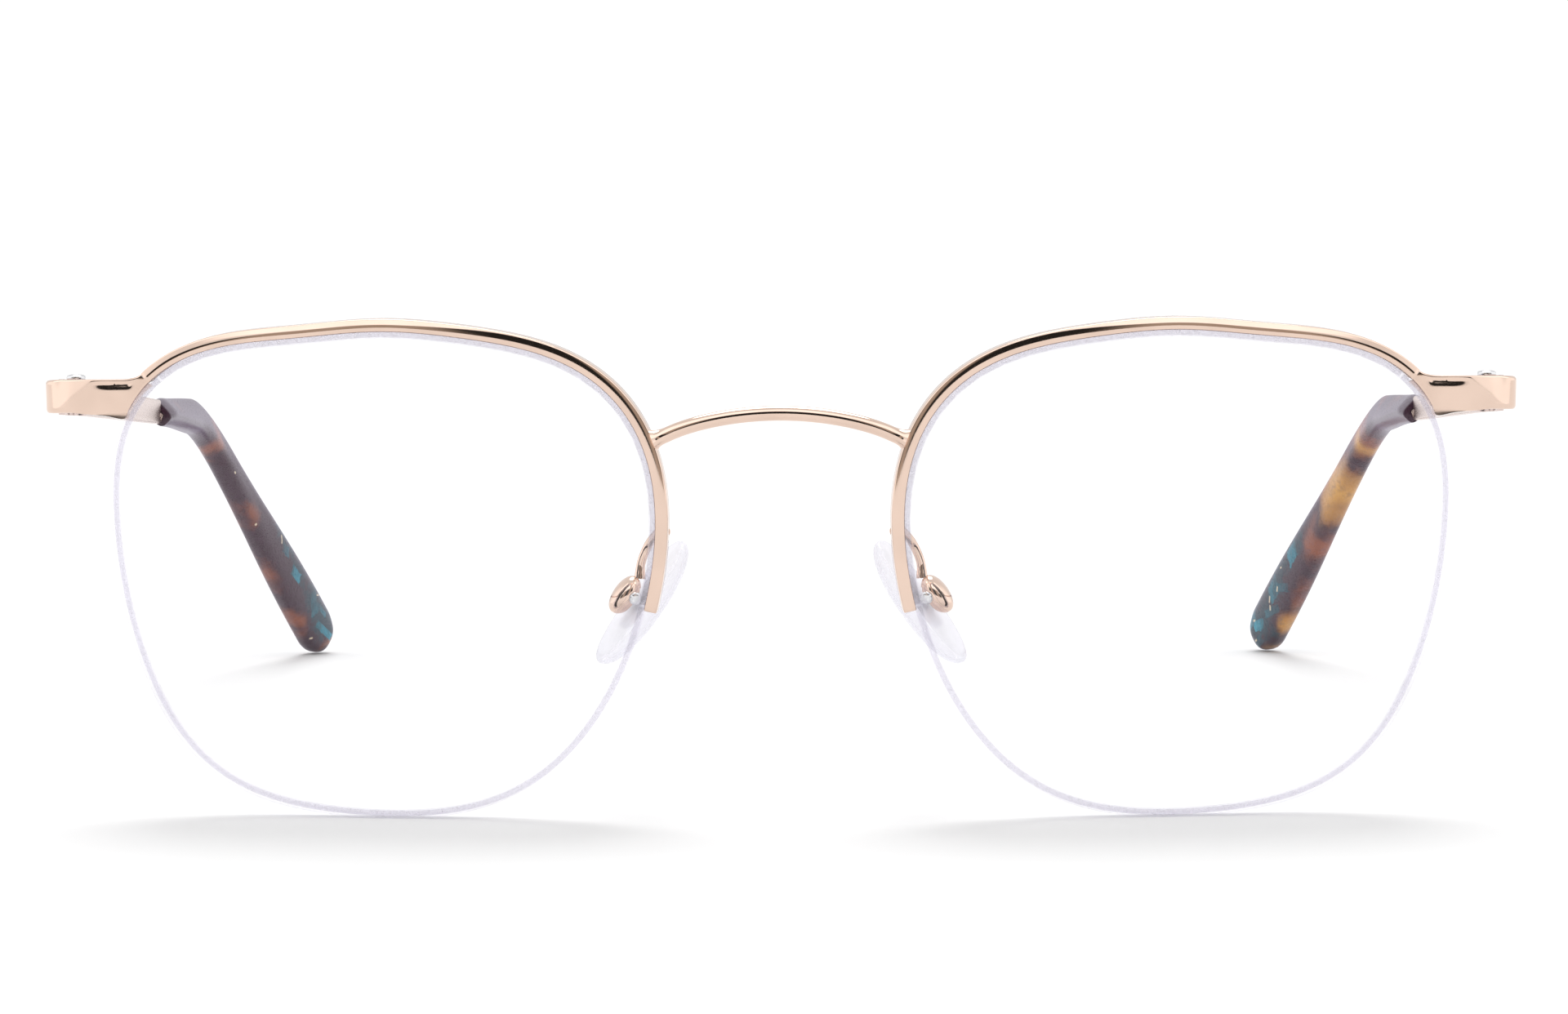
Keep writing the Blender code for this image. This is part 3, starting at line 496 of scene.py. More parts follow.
def bm_box(low, high):
    bm = bmesh.new()
    bmesh.ops.create_cube(bm, size=1.0)
    low, high = Vector(low), Vector(high)
    bmesh.ops.scale(bm, verts=bm.verts, vec=high - low)
    bmesh.ops.translate(bm, verts=bm.verts, vec=(low + high) / 2)
    return bm


def bm_rod(centre, radius, height, segments=56):
    bm = bmesh.new()
    bmesh.ops.create_cone(bm, cap_ends=True, segments=segments, radius1=radius, radius2=radius, depth=height)
    bmesh.ops.translate(bm, verts=bm.verts, vec=centre)
    return bm


def bm_turned(profile, segments=56):
    """(radius, height) pairs from the bottom to the top, spun about z; both ends are on the axis."""
    rings = [[Vector((r * math.cos(2 * math.pi * k / segments), r * math.sin(2 * math.pi * k / segments), h))
              for k in range(segments)] for r, h in profile[1:-1]]
    bm = loft(rings, caps=(False, False))
    cap_fan(bm, 0, segments, (0, 0, profile[0][1]))
    cap_fan(bm, segments * (len(rings) - 1), segments, (0, 0, profile[-1][1]))
    return bm


# ---------------------------------------------------------------- lens outline, as in the CAD

def lens_radius(angle):
    count = len(LENS_RADII)
    total = 0.0
    for i, radius in enumerate(LENS_RADII):
        d = angle - 2 * math.pi * i / count
        kernel = 1 + 2 * sum(math.cos(k * d) for k in range(1, count // 2)) + math.cos(count / 2 * d)
        total += radius * kernel / count
    return total


def edge_point(angle, out=0.0):
    step = 1e-4
    r = lens_radius(angle)
    u, v = r * math.cos(angle), r * math.sin(angle)
    ra, rb = lens_radius(angle - step), lens_radius(angle + step)
    du = rb * math.cos(angle + step) - ra * math.cos(angle - step)
    dv = rb * math.sin(angle + step) - ra * math.sin(angle - step)
    size = math.hypot(du, dv)
    nu, nv = dv / size, -du / size
    return u + nu * out, v + nv * out, nu, nv


def front_y(u, v):
    return LENS_FRONT_Y + math.tan(WRAP) * u - math.tan(PANTOSCOPIC) * v + (u * u + v * v) / (2 * LENS_BASE_RADIUS)


LENS_AXIS = Vector((-math.tan(WRAP), 1.0, math.tan(PANTOSCOPIC))).normalized()


def edge_frame(angle):
    u, v, nu, nv = edge_point(angle)
    at = Vector((LENS_CENTRE_X + u, front_y(u, v), LENS_CENTRE_Z + v))
    out = Vector((nu, 0.0, nv))
    out = (out - LENS_AXIS * out.dot(LENS_AXIS)).normalized()
    return at, out


def edge_section(angle, profile):
    at, out = edge_frame(angle)
    middle = at + LENS_AXIS * (LENS_THICKNESS / 2)
    return [middle + out * w + LENS_AXIS * d for w, d in profile]


# ---------------------------------------------------------------- lenses, rims, cords

def make_lens(label, side):
    half = LENS_THICKNESS / 2
    count = 240
    profile = ((-0.12, -half), (-0.05, -half + 0.03), (0, -half + 0.12), (0, -GROOVE_HALF), (-GROOVE_DEPTH, -GROOVE_HALF),
               (-GROOVE_DEPTH, GROOVE_HALF), (0, GROOVE_HALF), (0, half - 0.12), (-0.05, half - 0.03), (-0.12, half))
    angles = [2 * math.pi * k / count for k in range(count)]
    columns = [edge_section(a, profile) for a in angles]
    rings = [[column[i] for column in columns] for i in range(len(profile))]
    front, back = [], []
    for share in (0.08, 0.2, 0.34, 0.48, 0.62, 0.76, 0.88, 0.96):
        row = []
        for a in angles:
            u, v, _, _ = edge_point(a)
            u, v = u * share, v * share
            row.append(Vector((LENS_CENTRE_X + u, front_y(u, v), LENS_CENTRE_Z + v)))
        front.append(row)
        back.insert(0, [p + LENS_AXIS * LENS_THICKNESS for p in row])
    kinds = [0] * len(front) + [1] * (len(rings) - 1) + [0] * len(back)
    bm = loft(front + rings + back, caps=(False, False), materials=kinds)
    total = len(bm.verts)
    middle = Vector((LENS_CENTRE_X, front_y(0, 0), LENS_CENTRE_Z))
    cap_fan(bm, 0, count, middle)
    cap_fan(bm, total - count, count, middle + LENS_AXIS * LENS_THICKNESS)
    return finish_mesh(f"{label}_lens_visual", bm, side, "front", [LENS, LENS_EDGE], [f"{label}_lens"],
                       sharp=24.0)


RIM_LOW = -0.04
RIM_HIGH = 0.46


def rim_turn(angle):
    """Where the front face finishes turning upwards (-1 at the lens, 1 at the outside): a crease, then a full round."""
    degrees = math.degrees(angle) % 360
    return 0.27 + 0.73 * ease(94.0, 120.0, degrees)


def rim_profile(angle):
    """The half rim's section: a crowned front face that follows the lens's curve, with soft corners."""
    d0 = RIM_HALF_DEPTH
    inner, outer = RIM_INNER, RIM_OUTER
    wide = outer - inner
    made = []
    first, last = -0.45, rim_turn(angle)
    steps = 18
    corner = 0.08
    depth, before = -d0 + 0.03, None
    for k in range(steps + 1):
        w = inner + corner + (wide - 2 * corner) * k / steps
        x = (w - inner) / wide * 2 - 1
        slope = RIM_LOW + (RIM_HIGH - RIM_LOW) * min(1.0, max(0.0, (x - first) / (last - first)))
        if before is not None:
            depth += (slope + before[1]) / 2 * (w - before[0])
        before = (w, slope)
        made.append((w, depth))
    edge_in, edge_out = made[0][1], made[-1][1]
    lead = [(inner, edge_in + corner * 1.15), (inner + 0.013, edge_in + corner * 0.66), (inner + 0.045, edge_in + corner * 0.26)]
    tail = [(outer - 0.045, edge_out + corner * 0.30), (outer - 0.013, edge_out + corner * 0.72), (outer, edge_out + corner * 1.25)]
    back = [(outer, d0 - 0.14), (outer - 0.03, d0 - 0.05), (outer - 0.12, d0), (inner + 0.10, d0), (inner + 0.02, d0 - 0.02),
            (inner, d0 - 0.07)]
    channel = [(inner, CHANNEL_HALF), (CHANNEL_DEPTH, CHANNEL_HALF), (CHANNEL_DEPTH, -CHANNEL_HALF), (inner, -CHANNEL_HALF)]
    return lead + made + tail + back + channel


def make_rim(label, side):
    count = 260
    rings = []
    start = RIM_FROM - 1.15
    spread = [start + (RIM_TO - start) * k / count for k in range(count + 1)]
    # Two close rings at each end draw the small round of the cut ends.
    for k, degrees in enumerate(spread):
        rings.append(edge_section(math.radians(degrees), rim_profile(math.radians(degrees))))
    for end, other in ((0, 1), (-1, -2)):
        middle = sum(rings[end], Vector()) / len(rings[end])
        tilt = (rings[end][0] - rings[other][0]).normalized() * 0.05
        small = [middle + (p - middle) * 0.94 + tilt for p in rings[end]]
        if end == 0:
            rings.insert(0, small)
        else:
            rings.append(small)
    return finish_mesh(f"{label}_eyewire_visual", loft(rings), side, "front", [ROSE], [f"{label}_eyewire"],
                       sharp=40.0)


def make_cord(label, side):
    start, stop = RIM_TO - 0.1, 360.0 + RIM_FROM + 0.1
    count = 260
    points = [edge_section(math.radians(start + (stop - start) * k / count), ((-0.31, 0.0),))[0] for k in range(count + 1)]
    bm = tube(points, [CORD_RADIUS] * len(points), 16)
    return finish_mesh(f"{label}_lens_cord_visual", bm, side, "front", [NYLON], [f"{label}_lens_cord"])


# ---------------------------------------------------------------- bridge

def make_bridge():
    """A round bar arched up and forwards, with a small flare of solder where each end meets its rim."""
    angle = math.radians(153.6)
    foot = edge_section(angle, ((RIM_OUTER - 0.12, -0.05),))[0]
    _, out = edge_frame(angle)
    half = BRIDGE_HALF_X
    centres, radii = [], []
    count = 80
    for k in range(count + 1):
        x = -10.4 + 20.8 * k / count
        share = abs(x) / half
        y = BRIDGE_CREST_Y + (foot.y - BRIDGE_CREST_Y) * share ** 2.6
        centres.append(Vector((x, y, BRIDGE_CREST_Z - 0.0160 * x * x - 1.5e-8 * abs(x) ** 7)))
    right, left = Vector((-foot.x, foot.y, foot.z)), foot
    lead = catmull([centres[-4], centres[-1], left], 12)[13:]
    tail = [Vector((-p.x, p.y, p.z)) for p in reversed(lead)]
    points = tail + centres + lead
    for p in points:
        gap = min((p - left).length, (p - right).length)
        radii.append(BRIDGE_RADIUS * (1 + 0.55 * math.exp(-(gap / 0.42) ** 1.3)))
    bm = tube(points, radii, 40)
    return finish_mesh("bridge_visual", bm, 1, "front", [ROSE], ["bridge"], sharp=50.0)


# ---------------------------------------------------------------- end pieces

def end_plan(x):
    inner = LENS_CENTRE_X + 22.0
    start = front_y(22.0, 17.0) + LENS_THICKNESS / 2 - RIM_HALF_DEPTH
    return start + 0.24 * (x - inner) + 0.008 * (x - inner) ** 2


def end_rings():
    """The CAD's own corner points: front top, front bottom, back bottom, back top, from the rim to the hinge."""
    lens_side = [edge_point(math.radians(a), 0.07)[:2] for a in (RIM_FROM - 1.2, 38.0, 35.6, 33.2, 31.2)]
    bottom = [(LENS_CENTRE_X + u, LENS_CENTRE_Z + v) for u, v in lens_side]
    bottom += [(63.2, END_BOTTOM_INNER_Z + 0.05), (65.0, END_BOTTOM_INNER_Z + 0.2), (66.6, END_BOTTOM_Z)]
    u, v = edge_point(math.radians(RIM_FROM - 1.2), RIM_OUTER)[:2]
    top = [(LENS_CENTRE_X + u, LENS_CENTRE_Z + v), (60.3, END_TOP_Z + 0.18), (61.2, END_TOP_Z + 0.02), (62.2, END_TOP_Z),
           (63.2, END_TOP_Z), (64.2, END_TOP_Z), (65.4, END_TOP_Z), (66.6, END_TOP_Z)]
    rings = []
    for i, ((xt, zt), (xb, zb)) in enumerate(zip(top, bottom)):
        wall = 1.9 - 0.6 * i / 7
        yt, yb = end_plan(xt), end_plan(xb)
        back = 0.25 * (i > 3) * (i - 3) / 4
        rings.append([Vector((xt, yt, zt)), Vector((xb, yb, zb)), Vector((xb - back, yb + wall, zb)),
                      Vector((xt - back, yt + wall, zt))])
    corner_x, corner_y = 66.6, end_plan(66.6)
    reach = 3.0
    bend = [Vector((corner_x, corner_y)), Vector((corner_x + 1.75, corner_y + 0.36 * 1.75)),
            Vector((END_OUTER_X, corner_y + reach - 1.35)), Vector((END_OUTER_X, corner_y + reach))]
    for k in range(1, 9):
        share = k / 8
        t, u = share, 1 - share
        ox, oy = bend[0] * u ** 3 + bend[1] * 3 * u * u * t + bend[2] * 3 * u * t * t + bend[3] * t ** 3
        slope = (bend[1] - bend[0]) * u * u + (bend[2] - bend[1]) * 2 * u * t + (bend[3] - bend[2]) * t * t
        turn = math.atan2(slope.y, slope.x)
        nx, ny = -math.sin(turn), math.cos(turn)
        wall = 1.3 - (1.3 - END_WALL) * share
        ix, iy = ox + nx * wall, oy + ny * wall
        rings.append([Vector((ox, oy, END_TOP_Z)), Vector((ox, oy, END_BOTTOM_Z)), Vector((ix, iy, END_BOTTOM_Z)),
                      Vector((ix, iy, END_TOP_Z))])
    last = rings[-1][0].y
    for y in (last + (END_BACK_Y - last) * 0.33, last + (END_BACK_Y - last) * 0.66, END_BACK_Y):
        rings.append([Vector((END_OUTER_X, y, END_TOP_Z)), Vector((END_OUTER_X, y, END_BOTTOM_Z)),
                      Vector((END_OUTER_X - END_WALL, y, END_BOTTOM_Z)), Vector((END_OUTER_X - END_WALL, y, END_TOP_Z))])
    return rings


def end_relief(x, z):
    """How far the front face is carved back (mm) at x and z."""
    q = min(1.0, max(0.0, (END_TOP_Z - z) / 3.3))
    # The face looks slightly down. A scoop is cut under its top ridge, widest in the middle, running out at both ends.
    reach = ease(60.4, 61.2, x) * (1 - ease(62.8, 64.7, x))
    lean = 0.20 * q * (1 - 0.5 * ease(66.0, 68.5, x))
    cut = ease(0.09, 0.13, q) * (1 - ease(0.12, 0.31, q))
    # The outer third is a facet of its own, turned a little outwards, that ends along a slanting line.
    line = 64.4 + 4.6 * q
    facet = 0.085 * max(0.0, x - line) * (1 - ease(67.6, 68.8, x))
    return lean + 0.10 * reach * cut + facet


def make_end_piece(label, side):
    coarse = end_rings()
    corners = [catmull([ring[i] for ring in coarse], 6) for i in range(4)]
    rings = []
    radius, arc, face = 0.20, 5, 22
    for ft, fb, bb, bt in zip(*corners):
        up = (ft - fb).normalized()
        tall = (ft - fb).length
        fwd = ((ft + fb) - (bt + bb)) / 2
        deep = fwd.length
        fwd = (fwd - up * fwd.dot(up)).normalized()
        origin = fb
        ring = []
        radius = 0.20 + 0.20 * ease(64.5, 67.5, (ft.x + fb.x) / 2)

        def put(height, depth, carved=0.0):
            at = origin + up * height
            ring.append(at - fwd * (depth + carved * end_relief(at.x, at.z)))

        for k in range(arc):  # front top corner, from the top face round to the front face
            a = math.radians(90 * k / arc)
            put(tall - radius + radius * math.cos(a), radius - radius * math.sin(a), math.sin(a))
        for k in range(face + 1):
            put(tall - radius - (tall - 2 * radius) * k / face, 0.0, 1.0)
        for k in range(1, arc + 1):
            a = math.radians(90 * k / arc)
            put(radius - radius * math.sin(a), radius - radius * math.cos(a), math.cos(a))
        for k in range(arc + 1):
            a = math.radians(90 * k / arc)
            put(radius * 0.6 - radius * 0.6 * math.cos(a), deep - radius * 0.6 + radius * 0.6 * math.sin(a))
        for k in range(arc + 1):
            a = math.radians(90 * k / arc)
            put(tall - radius * 0.6 + radius * 0.6 * math.sin(a), deep - radius * 0.6 + radius * 0.6 * math.cos(a))
        rings.append(ring)
    # The outer end is cut square and eased.
    middle = sum(rings[-1], Vector()) / len(rings[-1])
    rings.append([middle + (p - middle) * 0.93 + Vector((0, 0.06, 0)) for p in rings[-1]])
    return finish_mesh(f"{label}_end_piece_visual", loft(rings), side, "front", [ROSE], [f"{label}_end_piece"],
                       sharp=38.0)


# ---------------------------------------------------------------- hinges

def soften(obj, width, segments=3, angle=40.0):
    made = obj.modifiers.new("eased", "BEVEL")
    made.width = width * MM
    made.segments = segments
    made.limit_method = "ANGLE"
    made.angle_limit = math.radians(angle)
    made.use_clamp_overlap = True


def make_hinges(label, side):
    pitch = KNUCKLE_HEIGHT + 0.05
    upper, lower = HINGE_Z + pitch, HINGE_Z - pitch
    name = f"{label}_hinge_front"
    made = finish_mesh(f"{name}_visual", bm_box((HINGE_X + 0.42, 7.9, HINGE_Z - 1.68),
                                                (HINGE_X + 1.0, HINGE_Y - 1.1, HINGE_Z + 1.68)), side, None, [ROSE_ARM], None)
    others = []
    for level in (upper, lower):
        others.append(cutter(bm_box((HINGE_X + 0.1, HINGE_Y - 1.5, level - 0.5), (HINGE_X + 0.96, HINGE_Y, level + 0.5)), side))
        apply_boolean(made, others[-1], "UNION")
        others.append(cutter(bm_rod((HINGE_X, HINGE_Y, level), KNUCKLE_RADIUS, KNUCKLE_HEIGHT), side))
        apply_boolean(made, others[-1], "UNION")
    others.append(cutter(bm_rod((HINGE_X, HINGE_Y, HINGE_Z), HINGE_BORE, 6.0), side))
    apply_boolean(made, others[-1], "DIFFERENCE")
    soften(made, 0.06, 2)
    bake_modifiers(made, others, 40.0)
    settle(made, "front", [name])

    name = f"{label}_hinge_temple"
    made = finish_mesh(f"{name}_visual", bm_box((HINGE_X + 0.42, HINGE_Y + 1.15, HINGE_Z - 1.4),
                                                (HINGE_X + 1.0, HINGE_Y + 7.4, HINGE_Z + 1.4)), side, None, [ROSE_ARM], None)
    others = [cutter(bm_box((HINGE_X + 0.1, HINGE_Y, HINGE_Z - 0.5), (HINGE_X + 0.96, HINGE_Y + 1.5, HINGE_Z + 0.5)), side),
              cutter(bm_rod((HINGE_X, HINGE_Y, HINGE_Z), KNUCKLE_RADIUS, KNUCKLE_HEIGHT), side),
              cutter(bm_rod((HINGE_X, HINGE_Y, HINGE_Z), HINGE_BORE, 6.0), side)]
    for other, operation in zip(others, ("UNION", "UNION", "DIFFERENCE")):
        apply_boolean(made, other, operation)
    soften(made, 0.06, 2)
    bake_modifiers(made, others, 40.0)
    settle(made, f"{label}_temple", [name])

    name = f"{label}_hinge_screw"
    top = HINGE_Z + KNUCKLE_HEIGHT * 1.5 + 0.05 + 0.03
    low, rise = -1.62, KNUCKLE_HEIGHT * 1.5 + 0.08
    head = SCREW_HEAD_RADIUS
    profile = ((0.0, low), (HINGE_PIN - 0.1, low), (HINGE_PIN, low + 0.1), (HINGE_PIN, rise), (head - 0.03, rise),
               (head, rise + 0.04), (head, rise + 0.24), (head - 0.05, rise + 0.33), (head - 0.16, rise + 0.42),
               (head - 0.38, rise + 0.50), (0.25, rise + 0.54), (0.0, rise + 0.55))
    place = Matrix.Translation(Vector((HINGE_X, HINGE_Y, HINGE_Z)))
    made = finish_mesh(f"{name}_visual", bm_turned(profile), side, None, [STEEL], None, place)
    slot = cutter(bm_box((HINGE_X - 2.0, HINGE_Y - 0.13, top + 0.30), (HINGE_X + 2.0, HINGE_Y + 0.13, top + 1.0)), side)
    apply_boolean(made, slot, "DIFFERENCE")
    bake_modifiers(made, [slot], 40.0)
    settle(made, "front", [name])


# ---------------------------------------------------------------- temples

def arm_point(y):
    past = max(0.0, y - ARM_Y - ARM_STRAIGHT)
    return Vector((ARM_X + ARM_TOE_IN * past, y, HINGE_Z + ARM_DROP * past))


def tip_frame(s):
    straight = BEND_START_Y - TIP_START_Y
    ahead = Vector((ARM_TOE_IN, 1.0, ARM_DROP)).normalized()
    start = arm_point(TIP_START_Y) + Vector((-TIP_INSET, 0.0, 0.0))
    side = Vector((math.cos(BEND_LEAN), 0.0, -math.sin(BEND_LEAN)))
    side = (side - ahead * side.dot(ahead)).normalized()
    down = ahead.cross(side)
    if down.z > 0:
        down.negate()
    arc = BEND_RADIUS * BEND_ANGLE
    if s <= straight:
        return start + ahead * s, ahead, side, -down
    corner = start + ahead * straight
    turn = min((s - straight) / BEND_RADIUS, BEND_ANGLE)
    centre = corner + down * BEND_RADIUS
    radial = -down * math.cos(turn) + ahead * math.sin(turn)
    tangent = ahead * math.cos(turn) + down * math.sin(turn)
    point = centre + radial * BEND_RADIUS
    if s > straight + arc:
        point = point + tangent * (s - straight - arc)
    return point, tangent, side, radial


TIP_LENGTH = BEND_START_Y - TIP_START_Y + BEND_RADIUS * BEND_ANGLE + TIP_STRAIGHT
CORE_END = TIP_LENGTH - 9.0


def tip_size(s):
    height = 3.0 + 0.9 * ease(0, 30, s) + 1.7 * ease(38, 68, s)
    thick = 2.35 + 0.45 * ease(0, 30, s) + 0.2 * ease(44, 66, s)
    twist = -BEND_LEAN * (1 - ease(4, 26, s)) + math.radians(38.0) * ease(24, 62, s)
    return height, thick, twist


def tip_axes(s):
    centre, tangent, side, up = tip_frame(s)
    twist = tip_size(s)[2]
    a = side * math.cos(twist) + up * math.sin(twist)
    b = tangent.cross(a)
    if b.dot(up) < 0:
        b.negate()
    return centre, tangent, a, b


def tip_ring(s, height, thick, radius, offset=0.0, per_corner=3, per_side=0):
    centre, _, a, b = tip_axes(s)
    centre = centre + a * offset
    return [centre + a * p + b * q for p, q in rounded(thick / 2, height / 2, radius, per_corner, per_side)]


def core_offset(s):
    return TIP_INSET * (1 - ease(2, 22, s))


def make_arm(label, side):
    rings = []
    across = Vector((1.0, -ARM_TOE_IN, 0.0)).normalized()
    ends = ((ARM_Y + 0.0, 0.93), (ARM_Y + 0.07, 1.0))
    stops = [(y, ARM_HEIGHT_FRONT, share) for y, share in ends] + [(ARM_Y + ARM_STRAIGHT, ARM_HEIGHT_FRONT, 1.0)]
    for k in range(1, 13):
        t = k / 12
        y = ARM_Y + ARM_STRAIGHT + (TIP_START_Y - 0.12 - ARM_Y - ARM_STRAIGHT) * t
        stops.append((y, ARM_HEIGHT_FRONT + (ARM_HEIGHT_BACK - ARM_HEIGHT_FRONT) * t, 1.0))
    for y, height, share in stops:
        out = Vector((1, 0, 0)) if y <= ARM_Y + ARM_STRAIGHT else across
        centre = arm_point(y)
        rings.append([centre + out * p + Vector((0, 0, 1)) * q
                      for p, q in rounded(ARM_THICKNESS / 2 * share, height / 2 * share, 0.26, 7, 2)])
    for k in range(0, 50):
        s = -0.06 if k == 0 else CORE_END * k / 49
        rings.append(tip_ring(s, CORE_HEIGHT, CORE_THICKNESS, 0.3, core_offset(s), 7, 2))
    return finish_mesh(f"{label}_temple_arm_visual", loft(rings), side, f"{label}_temple", [ROSE_ARM],
                       [f"{label}_temple_arm"], sharp=30.0)


# Patches of the tortoise pattern: (mm along the tip, place across it from -1 to 1, half length, half width, strength).
# They lie on the face turned to the front; the noise in the material breaks up their outlines.
WARM = {
    -1: ((33.0, -0.4, 2.4, 0.9, 1.0), (46.0, -0.80, 2.2, 0.5, 0.8), (56.5, -0.95, 2.6, 0.5, 0.9), (66.0, -1.15, 3.0, 0.32, 0.9),
         (72.8, 0.0, 1.2, 1.2, 0.7), (8.0, 0.0, 4.0, 1.0, 0.4)),
    1: ((34.0, 0.1, 3.2, 1.6, 1.2), (43.5, -0.1, 4.0, 1.6, 1.2), (52.5, -0.6, 3.6, 0.8, 1.1), (66.0, -1.2, 7.5, 0.36, 1.2),
        (12.0, 0.0, 4.0, 1.0, 0.5), (23.0, 0.5, 3.0, 1.0, 0.6)),
}
GOLDEN = {
    -1: ((73.0, -0.2, 0.8, 0.6, 0.3),),
    1: ((43.4, -0.35, 3.6, 1.0, 1.1), (34.6, -0.5, 1.8, 0.7, 0.8), (69.5, -1.15, 5.4, 0.34, 1.0)),
}
FLAKES = {
    -1: ((56.0, 0.65, 3.0, 0.50, 0.7), (61.0, 0.45, 3.2, 0.6, 0.85), (68.0, 0.25, 4.6, 0.75, 1.0)),
    1: ((57.0, 0.60, 3.6, 0.60, 0.9), (63.0, 0.40, 4.0, 0.8, 1.0), (69.5, 0.20, 4.6, 0.85, 1.0)),
}


def patch_level(patches, s, q):
    total = 0.0
    for at, across, long, wide, strength in patches:
        r2 = ((s - at) / long) ** 2 + ((q - across) / wide) ** 2
        total = max(total, strength * math.exp(-0.8 * r2))
    return total


def make_tip(label, side):
    outer, marks = [], []
    per_corner, per_side = 8, 8
    count = 150

    def put(s, scale, thin, shift=0.0):
        height, thick, _ = tip_size(s)
        half_a, half_b = thick * thin / 2, height * scale / 2
        corner = 1.12 * min(1.0, thin, height * scale / 2.6)
        # The section swells softly between its corners.
        power = 3.6 - 0.9 * ease(20.0, 45.0, s)
        section = []
        for p, q in rounded(half_a, half_b, corner, per_corner, per_side):
            size = (abs(p / half_a) ** power + abs(q / half_b) ** power) ** (1 / power)
            section.append((p / size, q / size))
        centre, _, a, b = tip_axes(s)
        outer.append([centre + a * (p + shift) + b * q for p, q in section])
        marks.append([(s, q / (height / 2)) for _, q in section])

    # The side towards the head starts close to the metal and swells over the first few millimetres.
    for s, share in ((0.0, 0.76), (0.03, 0.785), (0.10, 0.80)):
        put(s, 0.90 + 0.05 * (share - 0.76) / 0.04, share, tip_size(s)[1] * (1 - share) / 2)
    for k in range(1, 11):
        s = 0.10 + 3.1 * k / 10
        share = 0.80 + 0.20 * math.sin(math.pi / 2 * k / 10)
        put(s, 0.95 + 0.05 * (share - 0.80) / 0.20, share, tip_size(s)[1] * (1 - share) / 2)
    dome = 4.0
    for k in range(count + 1):
        s = 3.35 + (TIP_LENGTH - 3.35 - dome) * k / count
        put(s, 1.0, 1.0)
    end = TIP_LENGTH - 0.15
    for k in range(1, 27):
        x = math.sin(k / 26.4 * math.pi / 2)
        s = end - (dome - 0.15) * (1 - x)
        left = end - s
        tall = max(0.0, 1 - ((dome - 0.15 - left) / (dome - 0.15)) ** 2.0) ** 0.5
        thin = max(0.0, 1 - (max(0.0, 1.7 - left) / 1.7) ** 2.0) ** 0.5
        put(s, tall * 0.98 + 0.02, thin * 0.97 + 0.03)
    hole = []
    for k in range(0, 41):
        s = (CORE_END + 0.4) * k / 40
        hole.append(tip_ring(s, CORE_HEIGHT + 2 * CORE_GAP, CORE_THICKNESS + 2 * CORE_GAP, 0.34, core_offset(s),
                             per_corner, per_side))
    rings = list(reversed(hole)) + outer
    bm = loft(rings)
    names = {key: bm.verts.layers.float.new(key) for key in ("warm", "golden", "flakes", "along", "across")}
    bm.verts.ensure_lookup_table()
    per = len(outer[0])
    for i, row in enumerate([[(0.0, 0.0)] * per] * len(hole) + marks):
        for j, (s, q) in enumerate(row):
            vert = bm.verts[i * per + j]
            wobble = noise.noise(Vector((s * 0.22, q * 0.8, 3.1 * side))) * 2.6
            sway = noise.noise(Vector((s * 0.35, q * 0.9, 7.7 + 2.0 * side))) * 0.45
            vert[names["along"]], vert[names["across"]] = s, q * 2.6
            for key, table in (("warm", WARM), ("golden", GOLDEN), ("flakes", FLAKES)):
                vert[names[key]] = patch_level(table[side], s + wobble, q + sway)
    shade = acetate(f"{label}_acetate", (0.042, 0.016, 0.030), (0.25, 0.075, 0.038), (0.58, 0.30, 0.075), side)
    return finish_mesh(f"{label}_temple_tip_visual", bm, side, f"{label}_temple", [shade], [f"{label}_temple_tip"],
                       sharp=45.0)


# ---------------------------------------------------------------- nose pads

def pad_frame():
    up = Vector((-math.sin(PAD_LEAN), 0.0, math.cos(PAD_LEAN)))
    nose0 = Vector((-math.cos(PAD_LEAN), 0.0, -math.sin(PAD_LEAN)))
    back = Vector((0, 1, 0))
    nose = nose0 * math.cos(PAD_SPLAY) + back * math.sin(PAD_SPLAY)
    screw = back * math.cos(PAD_SPLAY) - nose0 * math.sin(PAD_SPLAY)
    made = Matrix((nose, screw, up)).transposed().to_4x4()
    made.translation = Vector(PAD_PIVOT)
    return made


def make_pad_arm(label, side):
    foot = edge_section(math.radians(171.4), ((0.62, RIM_HALF_DEPTH - 0.1),))[0]
    route = [foot, foot + Vector((-0.02, 0.9, 0.10)), foot + Vector((-0.05, 2.6, 0.35)), (11.35, 6.3, 26.9),
             (12.4, 8.5, 25.7), (13.2, 9.2, 23.9), (13.36, 9.22, 22.3)]
    points = catmull(route, 12)
    radii = []
    for p in points:
        near, far = (p - points[0]).length, (p - points[-1]).length
        radii.append(0.42 * (1 + 0.55 * math.exp(-(near / 0.45) ** 1.5) + 0.30 * math.exp(-(far / 0.8) ** 2)))
    return finish_mesh(f"{label}_pad_arm_visual", tube(points, radii, 28), side, "front", [ROSE], [f"{label}_pad_arm"],
                       sharp=45.0)


